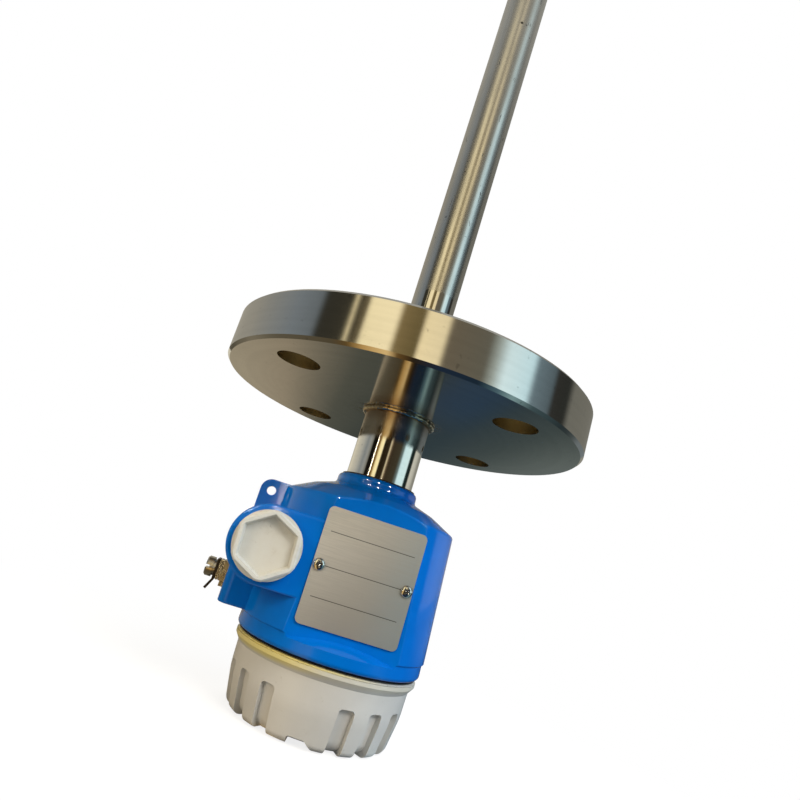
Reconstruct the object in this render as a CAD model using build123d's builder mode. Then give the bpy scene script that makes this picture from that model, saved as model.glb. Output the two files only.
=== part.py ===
from build123d import *
from math import atan, degrees
import os

# Vibrating fork level switch on a DN50 flange, in millimetres.
# Origin at the centre of the flange's sealing face, +Z along the probe towards the fork tips.
# The electronics housing hangs below the flange and its nameplate faces -Y.

os.makedirs("parts", exist_ok=True)

# Process flange with a flat sealing face
flange_od = 165.0
flange_thickness = 20.0
bolt_circle = 125.0
bolt_hole = 18.0
bolt_count = 4
bolt_turn = 36.4
rim_chamfer = 1.2

# Extension tube, measured from the sealing face
insertion_length = 550.0
tube_od = 21.3
tube_wall = 2.0
tube_seat_depth = 14.0
weld_leg = 3.0
weld_crown = 1.5
weld_play = 0.1

# Sensor sleeve with its diaphragm and the two fork blades
sleeve_step = 0.85
sleeve_length = 45.0
sleeve_wall = 3.0
sleeve_cone = 3.0
sleeve_land = 2.0
groove_weld = 0.8
diaphragm = 1.2
blade_length = 40.0
blade_gap = 9.4
blade_width = 18.4
blade_root_width = 9.6
blade_tip_width = 9.0
blade_root_length = 9.0
blade_flare_length = 7.0
blade_tip_length = 8.0
blade_root_thickness = 6.2
blade_tip_thickness = 4.4
blade_edge = 0.5
blade_inset = 0.25
blade_corner = 3.0
fork_od = tube_od + 2 * sleeve_step
sleeve_r = fork_od / 2
sleeve_bore = sleeve_r - sleeve_wall

# Piezo drive clamped behind the diaphragm
disc_bore = 5.0
piezo_thickness = 1.2
piezo_count = 4
electrode_thickness = 0.2
electrode_tab = 1.6
tab_gap = 0.4
end_disc_thickness = 2.0
seat_thickness = 3.0
seat_nose = 6.0
preload_screw_length = 10.0
thread_play = 0.1
lead_od = 1.3
lead_circle = 4.0
lead_count = 3
disc_od = 2 * (sleeve_bore - electrode_tab - tab_gap)

# Neck between flange and housing
neck_od = 30.5
neck_wall = 2.6
neck_show = 32.0
neck_weld_leg = 1.5
swivel_play = 0.1
axial_play = 0.3
clip_thickness = 1.3
clip_depth = 1.0
clip_width = 3.6
clip_gap = 9.0
clip_to_neck_end = 1.6
tube_end_chamfer = 0.4
feedthrough_depth = 14.0
feedthrough_length = 10.0
feedthrough_edge = 0.8
neck_r = neck_od / 2
tube_r = tube_od / 2

# Radii from the neck outwards: posts of the insert, insert, mouth, spigot, ring and wall
post_reach = 7.75
post_margin = 5.4
insert_side_gap = 4.0
spigot_wall = 2.6
ring_ledge = 5.0
wall_step = 0.5
wall_draft = 2.1
dome_width = 10.5
post_circle = neck_r + post_reach
insert_r = post_circle + post_margin
mouth_r = insert_r + insert_side_gap
spigot_r = mouth_r + spigot_wall
ring_r = spigot_r + ring_ledge
wall_r = ring_r + wall_step
shoulder_r = wall_r - wall_draft
dome_break_r = shoulder_r - dome_width

# Housing moulding: heights are measured down from the collar's top
collar_wall = 3.05
collar_draft = 0.1
collar_height = 4.8
collar_round = 2.0
collar_foot_round = 8.0
dome_break_drop = 8.1
shoulder_drop = 13.6
shoulder_round = 1.6
wall_drop = 66.6
ring_height = 6.7
ring_draft = 0.2
ring_edge_round = 1.8
pad_depth = 7.0
pad_wall = 3.2
pad_edge_round = 0.9
pad_slope_rise = 1.3
pad_slope_height = 2.9
pad_slope_overrun = 3.0
spigot_length = 10.2
hub_length = 14.0
hub_wall = 4.0
ceiling_drop = 11.4
ceiling_edge_drop = 17.0
ceiling_slope_run = 6.4
chamber_draft = 0.65
cut_overrun = 1.0
neck_seal_width = 1.5
neck_seal_height = 1.8
neck_seal_proud = 0.4
collar_r = neck_r + collar_wall
pad_distance = wall_r - pad_depth

# Cable entry boss along the housing's left side
boss_r = 15.5
boss_inset = 2.1
boss_drop = 39.1
boss_back = 14.0
boss_edge_round = 1.0
boss_back_round = 4.0
boss_flat_share = 0.5
entry_thread_r = 9.3
entry_bottom = 8.0
window_height = 13.0
window_back = 5.0
window_front = 16.0
window_reach = 4.0
plug_thread_length = 6.0
plug_flange_r = 13.2
plug_flange_thickness = 1.9
plug_hex_outer = 24.2
plug_hex_inner = 20.4
plug_hex_floor = 18.8
plug_hex_height = 2.4
plug_hex_depth = 3.6
plug_floor = 1.6
plug_wall = 1.6
plug_turn = 3.0
plug_crest_round = 0.7
entry_seal_width = 2.6
entry_seal_thickness = 0.8
entry_clearance = 0.2
boss_offset = wall_r - boss_inset

# Tag ear on top of the boss
ear_corner_r = 4.9
ear_reach = 6.0
ear_rise = 6.0
ear_hole = 4.0
ear_thickness = 3.5
ear_hole_offset = boss_offset + ear_reach

# Ground terminal on a block under the boss
block_setback = 3.4
block_width = 24.0
block_round = 4.0
block_edge_round = 0.8
ground_gap = 0.8
bushing_od = 6.4
bushing_length = 8.0
bushing_floor = 0.8
ground_screw_d = 4.0
ground_head_d = 8.2
ground_head_height = 3.1
ground_head_edge = 0.6
ground_slot = 1.3
ground_slot_depth = 1.7
lock_washer_od = 6.8
lock_washer_thickness = 1.0
lock_washer_gap = 0.8
tail_plate_thickness = 1.1
tail_length = 5.5
tail_width = 2.6
tail_splay = 25.0
clamp_side = 8.4
clamp_thickness = 1.1
clamp_count = 2
clamp_crease = 0.35
base_plate_thickness = 2.1
base_nose_height = 2.4
base_nose_width = 3.4
block_face = boss_offset + boss_r - block_setback

# Nameplate on the front pad
plate_width = 40.4
plate_top_gap = 3.9
plate_foot_gap = 4.2
plate_thickness = 0.8
plate_corner = 2.1
plate_screw_offset = 17.7
plate_screw_d = 2.2
plate_head_d = 4.0
plate_head_height = 1.5
plate_head_edge = 0.6
plate_screw_grip = 2.2
plate_height = wall_drop - shoulder_drop - plate_top_gap - plate_foot_gap

# Screw cover with its grip pockets
seal_height = 1.5
seal_setback = 0.45
seal_play = 0.1
cover_thread_play = 0.3
cover_wall = 2.0
cover_height = 28.2
cover_rim_step = 1.9
cover_rim_height = 1.4
cover_chamfer_height = 2.6
cover_break_draft = 0.5
cover_break_height = 14.5
cover_break_round = 30.0
cover_foot_draft = 3.1
cover_foot_round = 3.2
cover_floor = 4.6
cup_step = 2.6
cup_draft = 2.5
cover_spigot_gap = 0.7
pocket_width = 6.5
pocket_depth = 1.7
pocket_foot_depth = 2.2
pocket_foot_round = 6.0
pocket_drop = 10.9
pocket_round = 1.6
pocket_pitch = 20.4
pockets_per_group = 3
group_count = 4
group_turn = -56.2
notch_top_width = 6.6
notch_slant = 3.4
notch_depth = 3.1
notch_length = 9.0
notch_round = 0.8
foot_land = 12.2
foot_dish_depth = 1.0
foot_dish_taper = 30.0
thread_r = spigot_r + cover_thread_play
cover_top_r = thread_r + cover_wall
cover_rim_r = cover_top_r + cover_rim_step
cover_break_r = cover_top_r - cover_break_draft
cover_foot_r = cover_top_r - cover_foot_draft
cover_cup_r = thread_r - cup_step

# Electronic insert and its terminals
insert_height = 16.0
insert_gap = 3.2
insert_edge = 1.0
post_r = 3.6
insert_screw_d = 3.8
insert_head_d = 7.4
insert_head_height = 2.6
insert_head_sink = 4.0
insert_grip = 5.0
connector_d = 12.0
connector_height = 5.6
insert_lead_d = 4.4
terminal_pitch = 9.0
terminal_count = 3
terminal_margin = 1.5
terminal_width = 12.0
terminal_height = 10.5
terminal_step = 4.0
terminal_post_gap = 12.0
terminal_edge = 0.6
wire_hole = 4.2
terminal_screw_d = 4.6
terminal_slot = 0.9
clamp_play = 0.2
switch_offset = 8.0
switch_spacing = 16.0
switch_frame_length = 9.0
switch_frame_width = 5.4
switch_frame_height = 2.6
switch_slot_length = 5.4
switch_slot_width = 2.8
slider_length = 2.6
slider_height = 3.4
slider_edge = 0.3
slider_play = 0.1
led_d = 3.0
led_height = 2.4
led_spacing = 9.0
led_margin = 10.9
inner_ground_turn = 60.0
column_r = 4.2
column_gap = 0.6
column_reach = 9.6
inner_bushing_d = 5.6
inner_bushing_length = 9.0
inner_screw_d = 3.4
inner_head_d = 6.6
inner_head_height = 2.2
inner_clamp_thickness = 0.8
inner_grip = 6.0
terminal_offset = post_circle - terminal_post_gap
led_offset = insert_r - led_margin
inner_ground_circle = mouth_r - column_r - column_gap

# Levels along the axis that the pieces share
flange_back = -flange_thickness
diaphragm_z = insertion_length - blade_length
sleeve_base = diaphragm_z - sleeve_length
collar_top = flange_back - neck_show
ceiling = collar_top - ceiling_drop
hub_end = collar_top - hub_length
clip_top = hub_end - axial_play
neck_end = clip_top - clip_thickness - clip_to_neck_end
insert_back = neck_end - insert_gap
insert_face = insert_back - insert_height
column_end = insert_face - column_reach
wall_bottom = collar_top - wall_drop
housing_end = wall_bottom - ring_height
spigot_end = housing_end - spigot_length
cover_rim_top = housing_end - seal_height - 2 * seal_play
cover_end = cover_rim_top - cover_height
boss_z = collar_top - boss_drop
ground_z = boss_z - boss_r - ground_gap
ear_z = boss_z + boss_r + ear_rise
plate_z = collar_top - shoulder_drop - plate_top_gap - plate_height / 2


def ring_corners(inner_r, outer_r, low, high):
    """Corners of a ring's rectangular section in the XZ plane."""
    return [(inner_r, low), (outer_r, low), (outer_r, high), (inner_r, high)]


def round_edges(piece, radius):
    """Circular edges of a piece that have the given radius."""
    circles = piece.edges().filter_by(GeomType.CIRCLE)
    return circles.filter_by(lambda edge: abs(edge.radius - radius) < 0.01)


# Process flange: turned disc with four bolt holes and a bore for the tube
with BuildPart() as flange:
    with BuildSketch(Plane.XY.offset(flange_back)):
        Circle(flange_od / 2)
        Circle(tube_r + weld_play, mode=Mode.SUBTRACT)
    extrude(amount=flange_thickness)
    rim = round_edges(flange, flange_od / 2)
    chamfer(rim, rim_chamfer)
    with BuildSketch(Plane.XY.offset(flange_back)):
        with PolarLocations(bolt_circle / 2, bolt_count, start_angle=bolt_turn):
            Circle(bolt_hole / 2)
    extrude(amount=flange_thickness, mode=Mode.SUBTRACT)
    weld_groove = round_edges(flange, tube_r + weld_play).sort_by(Axis.Z)[-1]
    chamfer(weld_groove, weld_leg)
flange.part.label = "flange"
export_step(flange.part, "parts/flange.step")

# Extension tube from inside the flange up to the sensor sleeve
with BuildPart() as extension_tube:
    with BuildSketch(Plane.XY.offset(-tube_seat_depth)):
        Circle(tube_r)
        Circle(tube_r - tube_wall, mode=Mode.SUBTRACT)
    extrude(amount=tube_seat_depth + sleeve_base)
    top_edges = extension_tube.edges().filter_by(GeomType.CIRCLE).group_by(Axis.Z)[-1]
    chamfer(top_edges.sort_by(SortBy.RADIUS)[-1], groove_weld)
extension_tube.part.label = "extension_tube"
export_step(extension_tube.part, "parts/extension_tube.step")

# Weld of the tube in the groove of the sealing face
with BuildPart() as tube_weld:
    with BuildSketch(Plane.XZ):
        with BuildLine():
            Polyline(
                (tube_r, weld_crown),
                (tube_r, -weld_leg - weld_play),
                (tube_r + weld_leg + weld_play, 0),
                close=True,
            )
        make_face()
    revolve(axis=Axis.Z)
tube_weld.part.label = "tube_weld"
export_step(tube_weld.part, "parts/tube_weld.step")

# Weld in the groove between tube and sensor sleeve
with BuildPart() as fork_weld:
    with BuildSketch(Plane.XZ):
        with BuildLine():
            Polyline(
                (tube_r, sleeve_base - groove_weld),
                (tube_r - groove_weld, sleeve_base),
                (tube_r, sleeve_base + groove_weld),
                (tube_r + groove_weld / 2, sleeve_base),
                close=True,
            )
        make_face()
    revolve(axis=Axis.Z)
fork_weld.part.label = "fork_weld"
export_step(fork_weld.part, "parts/fork_weld.step")

# One fork blade: a paddle on a narrower root, flat inside and tapered outside
with BuildPart() as blade:
    half_width = blade_width / 2
    half_root = blade_root_width / 2
    half_tip = blade_tip_width / 2
    flare_z = diaphragm_z + blade_root_length
    paddle_z = flare_z + blade_flare_length
    tip_z = insertion_length - blade_tip_length
    blade_base = diaphragm_z - diaphragm / 2
    with BuildSketch(Plane.YZ.offset(blade_gap / 2)):
        with BuildLine():
            FilletPolyline(
                (-half_root, blade_base),
                (-half_root, flare_z),
                (-half_width, paddle_z),
                (-half_width, tip_z),
                (-half_tip, insertion_length),
                (half_tip, insertion_length),
                (half_width, tip_z),
                (half_width, paddle_z),
                (half_root, flare_z),
                (half_root, blade_base),
                radius=[blade_corner] * 8,
            )
            Line((half_root, blade_base), (-half_root, blade_base))
        make_face()
    extrude(amount=fork_od / 2 - blade_gap / 2)
    with BuildSketch(Plane.XY.offset(blade_base)):
        Circle(fork_od / 2 - blade_inset)
    extrude(amount=insertion_length - blade_base, mode=Mode.INTERSECT)
    with BuildSketch(Plane.XZ):
        with BuildLine():
            Polyline(
                (blade_gap / 2, blade_base),
                (blade_gap / 2 + blade_root_thickness, blade_base),
                (blade_gap / 2 + blade_root_thickness, flare_z),
                (blade_gap / 2 + blade_tip_thickness, insertion_length),
                (blade_gap / 2, insertion_length),
                close=True,
            )
        make_face()
    extrude(amount=blade_width, both=True, mode=Mode.INTERSECT)
    tip_edges = blade.edges().group_by(Axis.Z)[-1]
    chamfer(tip_edges, blade_edge)

# Sensor sleeve, diaphragm and both blades are one piece of stainless steel
with BuildPart() as vibrating_fork:
    with BuildSketch(Plane.XZ):
        with BuildLine():
            Polyline(
                (0, diaphragm_z),
                (sleeve_r - blade_edge, diaphragm_z),
                (sleeve_r, diaphragm_z - blade_edge),
                (sleeve_r, sleeve_base + sleeve_land + sleeve_cone),
                (tube_r, sleeve_base + sleeve_land),
                (tube_r, sleeve_base + groove_weld),
                (tube_r - groove_weld, sleeve_base),
                (sleeve_bore, sleeve_base),
                (sleeve_bore, diaphragm_z - diaphragm),
                (0, diaphragm_z - diaphragm),
                close=True,
            )
        make_face()
    revolve(axis=Axis.Z)
    add(blade.part)
    mirror(blade.part, about=Plane.YZ)
vibrating_fork.part.label = "vibrating_fork"
export_step(vibrating_fork.part, "parts/vibrating_fork.step")

# Pressure seat: disc with a nose that bears on the middle of the diaphragm
seat_top = diaphragm_z - diaphragm
seat_base = seat_top - seat_thickness
with BuildPart() as pressure_seat:
    with BuildSketch(Plane.XY.offset(seat_base)):
        Circle(disc_od / 2)
    extrude(amount=seat_thickness / 2)
    with BuildSketch(Plane.XY.offset(seat_base + seat_thickness / 2)):
        Circle(seat_nose / 2)
    extrude(amount=seat_thickness / 2)
pressure_seat.part.label = "pressure_seat"
export_step(pressure_seat.part, "parts/pressure_seat.step")

# Drive stack: ceramic end discs outside, piezo discs between electrode discs inside
stack_top = seat_base - end_disc_thickness
piezo_step = piezo_thickness + electrode_thickness
stack_base = stack_top - piezo_count * piezo_step - electrode_thickness
with BuildPart() as ceramic_end_discs:
    for level in (seat_base - end_disc_thickness, stack_base - end_disc_thickness):
        with BuildSketch(Plane.XY.offset(level)):
            Circle(disc_od / 2)
            Circle(disc_bore / 2, mode=Mode.SUBTRACT)
        extrude(amount=end_disc_thickness)
ceramic_end_discs.part.label = "ceramic_end_discs"
export_step(ceramic_end_discs.part, "parts/ceramic_end_discs.step")

with BuildPart() as piezo_discs:
    for index in range(piezo_count):
        level = stack_base + electrode_thickness + index * piezo_step
        with BuildSketch(Plane.XY.offset(level)):
            Circle(disc_od / 2)
            Circle(disc_bore / 2, mode=Mode.SUBTRACT)
        extrude(amount=piezo_thickness)
piezo_discs.part.label = "piezo_discs"
export_step(piezo_discs.part, "parts/piezo_discs.step")

with BuildPart() as electrode_discs:
    for index in range(piezo_count + 1):
        level = stack_base + index * piezo_step
        side = -1 if index % 2 else 1
        with BuildSketch(Plane.XY.offset(level)):
            Circle(disc_od / 2)
            with Locations((side * disc_od / 2, 0)):
                Rectangle(2 * electrode_tab, electrode_tab)
            Circle(disc_bore / 2, mode=Mode.SUBTRACT)
        extrude(amount=electrode_thickness)
electrode_discs.part.label = "electrode_discs"
export_step(electrode_discs.part, "parts/electrode_discs.step")

# Preload screw: threaded plug that clamps the stack, with a bore for the leads
screw_top = stack_base - end_disc_thickness
lead_bore = lead_circle + lead_od
with BuildPart() as preload_screw:
    with BuildSketch(Plane.XY.offset(screw_top - preload_screw_length)):
        Circle(sleeve_bore - thread_play)
        Circle(lead_bore / 2 + thread_play, mode=Mode.SUBTRACT)
    extrude(amount=preload_screw_length)
    with BuildSketch(Plane.XY.offset(screw_top - preload_screw_length)):
        Rectangle(2 * sleeve_bore, electrode_tab)
    extrude(amount=electrode_tab, mode=Mode.SUBTRACT)
preload_screw.part.label = "preload_screw"
export_step(preload_screw.part, "parts/preload_screw.step")

# Potted feedthrough that closes the neck, and the leads from it to the drive stack
feedthrough_top = flange_back - feedthrough_depth
with BuildPart() as feedthrough:
    with BuildSketch(Plane.XY.offset(feedthrough_top - feedthrough_length)):
        Circle(neck_r - neck_wall - weld_play)
    extrude(amount=feedthrough_length)
    chamfer(feedthrough.edges().filter_by(GeomType.CIRCLE), feedthrough_edge)
feedthrough.part.label = "feedthrough"
export_step(feedthrough.part, "parts/feedthrough.step")

with BuildPart() as signal_leads:
    with BuildSketch(Plane.XY.offset(feedthrough_top)):
        with PolarLocations(lead_circle / 2, lead_count):
            Circle(lead_od / 2)
    extrude(amount=screw_top - feedthrough_top)
signal_leads.part.label = "signal_leads"
export_step(signal_leads.part, "parts/signal_leads.step")

# Neck tube welded on the flange's back, with the groove of the swivel clip
with BuildPart() as neck_tube:
    with BuildSketch(Plane.XZ):
        with BuildLine():
            Polyline(*ring_corners(neck_r - neck_wall, neck_r, neck_end, flange_back), close=True)
        make_face()
    revolve(axis=Axis.Z)
    chamfer(neck_tube.edges().filter_by(GeomType.CIRCLE).group_by(Axis.Z)[0], tube_end_chamfer)
    with BuildSketch(Plane.XZ):
        groove_low = clip_top - clip_thickness - swivel_play
        groove_high = clip_top + swivel_play
        with BuildLine():
            Polyline(
                *ring_corners(neck_r - clip_depth, neck_od, groove_low, groove_high), close=True
            )
        make_face()
    revolve(axis=Axis.Z, mode=Mode.SUBTRACT)
neck_tube.part.label = "neck_tube"
export_step(neck_tube.part, "parts/neck_tube.step")

with BuildPart() as neck_weld:
    with BuildSketch(Plane.XZ):
        with BuildLine():
            Polyline(
                (neck_r, flange_back - neck_weld_leg),
                (neck_r, flange_back),
                (neck_r + neck_weld_leg, flange_back),
                close=True,
            )
        make_face()
    revolve(axis=Axis.Z)
neck_weld.part.label = "neck_weld"
export_step(neck_weld.part, "parts/neck_weld.step")

# Spring clip under the hub that carries the housing on the neck
with BuildPart() as swivel_clip:
    clip_inner = neck_r - clip_depth + swivel_play
    with BuildSketch(Plane.XY.offset(clip_top - clip_thickness)):
        Circle(clip_inner + clip_width)
        Circle(clip_inner, mode=Mode.SUBTRACT)
        with Locations((0, clip_inner + clip_width / 2)):
            Rectangle(clip_gap, 2 * clip_width, mode=Mode.SUBTRACT)
    extrude(amount=clip_thickness)
swivel_clip.part.label = "swivel_clip"
export_step(swivel_clip.part, "parts/swivel_clip.step")

# Space inside the housing: hub recess, drafted chamber and the flat behind the pad
pad_inside = pad_distance - pad_wall
with BuildPart() as chamber:
    with BuildSketch(Plane.XZ):
        with BuildLine():
            Polyline(
                (0, hub_end),
                (neck_r + swivel_play + hub_wall, hub_end),
                (neck_r + swivel_play + hub_wall, ceiling),
                (mouth_r - ceiling_slope_run, ceiling),
                (mouth_r - chamber_draft, collar_top - ceiling_edge_drop),
                (mouth_r, spigot_end - cut_overrun),
                (0, spigot_end - cut_overrun),
                close=True,
            )
        make_face()
    revolve(axis=Axis.Z)
    with BuildSketch(Plane.XY.offset(wall_bottom)):
        with Locations((0, -pad_inside - wall_r / 2)):
            Rectangle(2 * wall_r, wall_r)
    extrude(amount=wall_drop, mode=Mode.SUBTRACT)

# Cable entry boss: a tangential tube with a straight block up to the pad
with BuildPart() as entry_boss:
    with BuildSketch(Plane.XZ.offset(pad_distance)):
        with Locations((-boss_offset, boss_z)):
            Circle(boss_r)
        with Locations((-boss_offset * (1 + boss_flat_share) / 2, boss_z)):
            Rectangle(boss_offset * (1 - boss_flat_share), 2 * boss_r)
    extrude(amount=-(pad_distance + boss_back))
    fillet(entry_boss.faces().sort_by(Axis.Y)[0].edges(), boss_edge_round)
    back_arc = entry_boss.edges().filter_by(GeomType.CIRCLE).sort_by(Axis.Y)[-1]
    fillet(back_arc, boss_back_round)

# Tag ear: a flat lug on top of the boss, rounded round its hole
with BuildPart() as tag_ear:
    ear_top = ear_z + ear_corner_r
    with BuildSketch(Plane.XZ):
        with BuildLine():
            Polyline(
                (-ear_hole_offset, ear_top),
                (-pad_distance, ear_top),
                (-pad_distance, boss_z),
                (-ear_hole_offset - ear_corner_r, boss_z),
                (-ear_hole_offset - ear_corner_r, ear_z),
            )
            RadiusArc(
                (-ear_hole_offset - ear_corner_r, ear_z), (-ear_hole_offset, ear_top), ear_corner_r
            )
        make_face()
    extrude(amount=ear_thickness / 2, both=True)

# Ground block under the boss, rounded at its outer corners
with BuildPart() as ground_block:
    with BuildSketch(Plane.XY.offset(wall_bottom)):
        with Locations((-(block_face + pad_distance) / 2, 0)):
            Rectangle(block_face - pad_distance, block_width)
    extrude(amount=boss_z - wall_bottom)
    corners = ground_block.edges().filter_by(Axis.Z).group_by(Axis.X)[0]
    fillet(corners, block_round)
    foot = ground_block.faces().sort_by(Axis.Z)[0].edges()
    foot = foot.filter_by(lambda edge: edge.center().X < -pad_distance - block_edge_round)
    fillet(foot, block_edge_round)

# Ring under the wall: cut before the pad's plane down to a sloped shelf
shelf_top = wall_bottom + pad_slope_rise
shelf_pitch = pad_slope_height / (ring_r - ring_draft - pad_distance)
with BuildPart() as pad_cut:
    with BuildSketch(Plane.XZ):
        with BuildLine():
            Polyline(
                (pad_distance - pad_slope_overrun, collar_top),
                (2 * wall_r, collar_top),
                (2 * wall_r, shelf_top - shelf_pitch * (2 * wall_r - pad_distance)),
                (pad_distance - pad_slope_overrun, shelf_top + shelf_pitch * pad_slope_overrun),
                close=True,
            )
        make_face()
    revolve(axis=Axis.Z)
    with BuildSketch(Plane.XZ.offset(pad_distance)):
        with Locations((0, collar_top)):
            Rectangle(4 * wall_r, 4 * wall_drop)
    extrude(amount=wall_r, mode=Mode.INTERSECT)

with BuildPart() as wall_foot:
    with BuildSketch(Plane.XZ):
        foot_top = shelf_top + shelf_pitch * pad_slope_overrun
        with BuildLine():
            FilletPolyline(
                (0, foot_top),
                (pad_distance - pad_slope_overrun, foot_top),
                (wall_r, wall_bottom),
                (ring_r - ring_draft, wall_bottom - wall_step - ring_draft),
                (ring_r, housing_end),
                (0, housing_end),
                radius=[0, 0, 0, ring_edge_round],
            )
            Line((0, housing_end), (0, foot_top))
        make_face()
    revolve(axis=Axis.Z)
    add(pad_cut.part, mode=Mode.SUBTRACT)

# Housing: one moulding with collar, dome, drafted wall, front pad, ring and spigot
with BuildPart() as housing:
    with BuildSketch(Plane.XZ):
        with BuildLine():
            FilletPolyline(
                (0, collar_top),
                (collar_r, collar_top),
                (collar_r + collar_draft, collar_top - collar_height),
                (dome_break_r, collar_top - dome_break_drop),
                (shoulder_r, collar_top - shoulder_drop),
                (wall_r, wall_bottom),
                (0, wall_bottom),
                radius=[collar_round, collar_round, collar_foot_round, shoulder_round, 0],
            )
            Line((0, wall_bottom), (0, collar_top))
        make_face()
    revolve(axis=Axis.Z)
    with BuildSketch(Plane.XY.offset(wall_bottom)):
        with Locations((0, -pad_distance - wall_r / 2)):
            Rectangle(2 * wall_r, wall_r)
    extrude(amount=wall_drop, mode=Mode.SUBTRACT)
    pad_face = housing.faces().sort_by(Axis.Y)[0]
    pad_rim = pad_face.edges().filter_by(lambda edge: edge.center().Z > wall_bottom + pad_edge_round)
    fillet(pad_rim, pad_edge_round)
    add(wall_foot.part)
    with BuildSketch(Plane.XZ):
        with BuildLine():
            Polyline(*ring_corners(0, spigot_r, spigot_end, housing_end), close=True)
        make_face()
    revolve(axis=Axis.Z)

    add(entry_boss.part)
    add(tag_ear.part)
    add(ground_block.part)
    add(chamber.part, mode=Mode.SUBTRACT)

    # Posts of the insert and the column of the inner ground terminal
    with BuildSketch(Plane.XY.offset(insert_back)):
        with PolarLocations(post_circle, 2, start_angle=90):
            Circle(post_r)
    extrude(amount=ceiling + cut_overrun - insert_back)
    with BuildSketch(Plane.XY.offset(column_end)):
        with PolarLocations(inner_ground_circle, 1, start_angle=inner_ground_turn):
            Circle(column_r)
    extrude(amount=ceiling - column_end)

    # Swivel bore with the seat of the neck seal
    with Locations((0, 0, collar_top)):
        CounterBoreHole(
            radius=neck_r + swivel_play,
            counter_bore_radius=neck_r + swivel_play + neck_seal_width,
            counter_bore_depth=neck_seal_height - neck_seal_proud,
            depth=hub_length + cut_overrun,
        )

    # Cable entry: threaded mouth, blind bore and a window into the chamber
    with BuildSketch(Plane.XZ.offset(pad_distance)):
        with Locations((-boss_offset, boss_z)):
            Circle(entry_thread_r)
    extrude(amount=-(pad_distance + boss_back - entry_bottom), mode=Mode.SUBTRACT)
    with BuildSketch(Plane.XY.offset(boss_z - window_height / 2)):
        window_start = mouth_r - window_reach
        with Locations((-(boss_offset + window_start) / 2, (window_back - window_front) / 2)):
            Rectangle(boss_offset - window_start, window_front + window_back)
    extrude(amount=window_height, mode=Mode.SUBTRACT)

    # Holes for the tag, the terminals and the screws
    with BuildSketch(Plane.XZ.offset(ear_thickness)):
        with Locations((-ear_hole_offset, ear_z)):
            Circle(ear_hole / 2)
    extrude(amount=-2 * ear_thickness, mode=Mode.SUBTRACT)
    with BuildSketch(Plane.YZ.offset(-block_face)):
        with Locations((0, ground_z)):
            Circle(bushing_od / 2)
    extrude(amount=bushing_length, mode=Mode.SUBTRACT)
    with BuildSketch(Plane.XZ.offset(pad_distance)):
        with Locations((-plate_screw_offset, plate_z), (plate_screw_offset, plate_z)):
            Circle(plate_screw_d / 2 + thread_play)
    extrude(amount=-(plate_screw_grip + thread_play), mode=Mode.SUBTRACT)
    with BuildSketch(Plane.XY.offset(insert_back)):
        with PolarLocations(post_circle, 2, start_angle=90):
            Circle(insert_screw_d / 2 + thread_play)
    extrude(amount=insert_grip + thread_play, mode=Mode.SUBTRACT)
    with BuildSketch(Plane.XY.offset(column_end)):
        with PolarLocations(inner_ground_circle, 1, start_angle=inner_ground_turn):
            Circle(inner_bushing_d / 2)
    extrude(amount=inner_bushing_length, mode=Mode.SUBTRACT)
housing.part.label = "housing"
export_step(housing.part, "parts/housing.step")

# Lip seal between neck and collar
with BuildPart() as neck_seal:
    with BuildSketch(Plane.XZ):
        seal_low = collar_top + neck_seal_proud - neck_seal_height
        seal_high = collar_top + neck_seal_proud
        seal_bore = neck_r + swivel_play
        with BuildLine():
            Polyline(
                *ring_corners(seal_bore, seal_bore + neck_seal_width, seal_low, seal_high), close=True
            )
        make_face()
    revolve(axis=Axis.Z)
neck_seal.part.label = "neck_seal"
export_step(neck_seal.part, "parts/neck_seal.step")

# Black ring seal at the seam, round the spigot's root
with BuildPart() as cover_seal:
    with BuildSketch(Plane.XZ):
        seal_top = housing_end - seal_play
        seal_r = spigot_r + seal_play
        seal_outer = cover_rim_r - seal_setback
        with BuildLine():
            Polyline(*ring_corners(seal_r, seal_outer, seal_top - seal_height, seal_top), close=True)
        make_face()
    revolve(axis=Axis.Z)
cover_seal.part.label = "cover_seal"
export_step(cover_seal.part, "parts/cover_seal.step")

# Grip pockets in groups: slots with rounded tops down to a core that is rounder at the foot
pocket_top = cover_rim_top - pocket_drop
with BuildPart() as pockets:
    for group in range(group_count):
        for place in range(pockets_per_group):
            turn = group_turn + group * 360 / group_count
            turn += (place - (pockets_per_group - 1) / 2) * pocket_pitch
            pocket_plane = Plane(
                origin=Vector(cover_rim_r, 0, pocket_top).rotate(Axis.Z, turn),
                x_dir=Vector(0, 1, 0).rotate(Axis.Z, turn),
                z_dir=Vector(1, 0, 0).rotate(Axis.Z, turn),
            )
            with BuildSketch(pocket_plane):
                with BuildLine():
                    FilletPolyline(
                        (-pocket_width / 2, cover_end - cut_overrun - pocket_top),
                        (-pocket_width / 2, 0),
                        (pocket_width / 2, 0),
                        (pocket_width / 2, cover_end - cut_overrun - pocket_top),
                        radius=pocket_round,
                    )
                    Line(
                        (pocket_width / 2, cover_end - cut_overrun - pocket_top),
                        (-pocket_width / 2, cover_end - cut_overrun - pocket_top),
                    )
                make_face()
            extrude(amount=-(cover_rim_r - cover_foot_r + 2 * pocket_foot_round))
    with BuildSketch(Plane.XZ):
        core_top = cover_break_r - pocket_depth
        core_foot = cover_foot_r - pocket_foot_depth
        with BuildLine():
            FilletPolyline(
                (0, pocket_top + cut_overrun),
                (core_top, pocket_top + cut_overrun),
                (core_foot, cover_end),
                (core_foot - 2 * pocket_foot_round, cover_end),
                radius=[0, pocket_foot_round],
            )
            Polyline(
                (core_foot - 2 * pocket_foot_round, cover_end),
                (core_foot - 2 * pocket_foot_round, cover_end - 2 * cut_overrun),
                (0, cover_end - 2 * cut_overrun),
                (0, pocket_top + cut_overrun),
            )
        make_face()
    revolve(axis=Axis.Z, mode=Mode.SUBTRACT)

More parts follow.
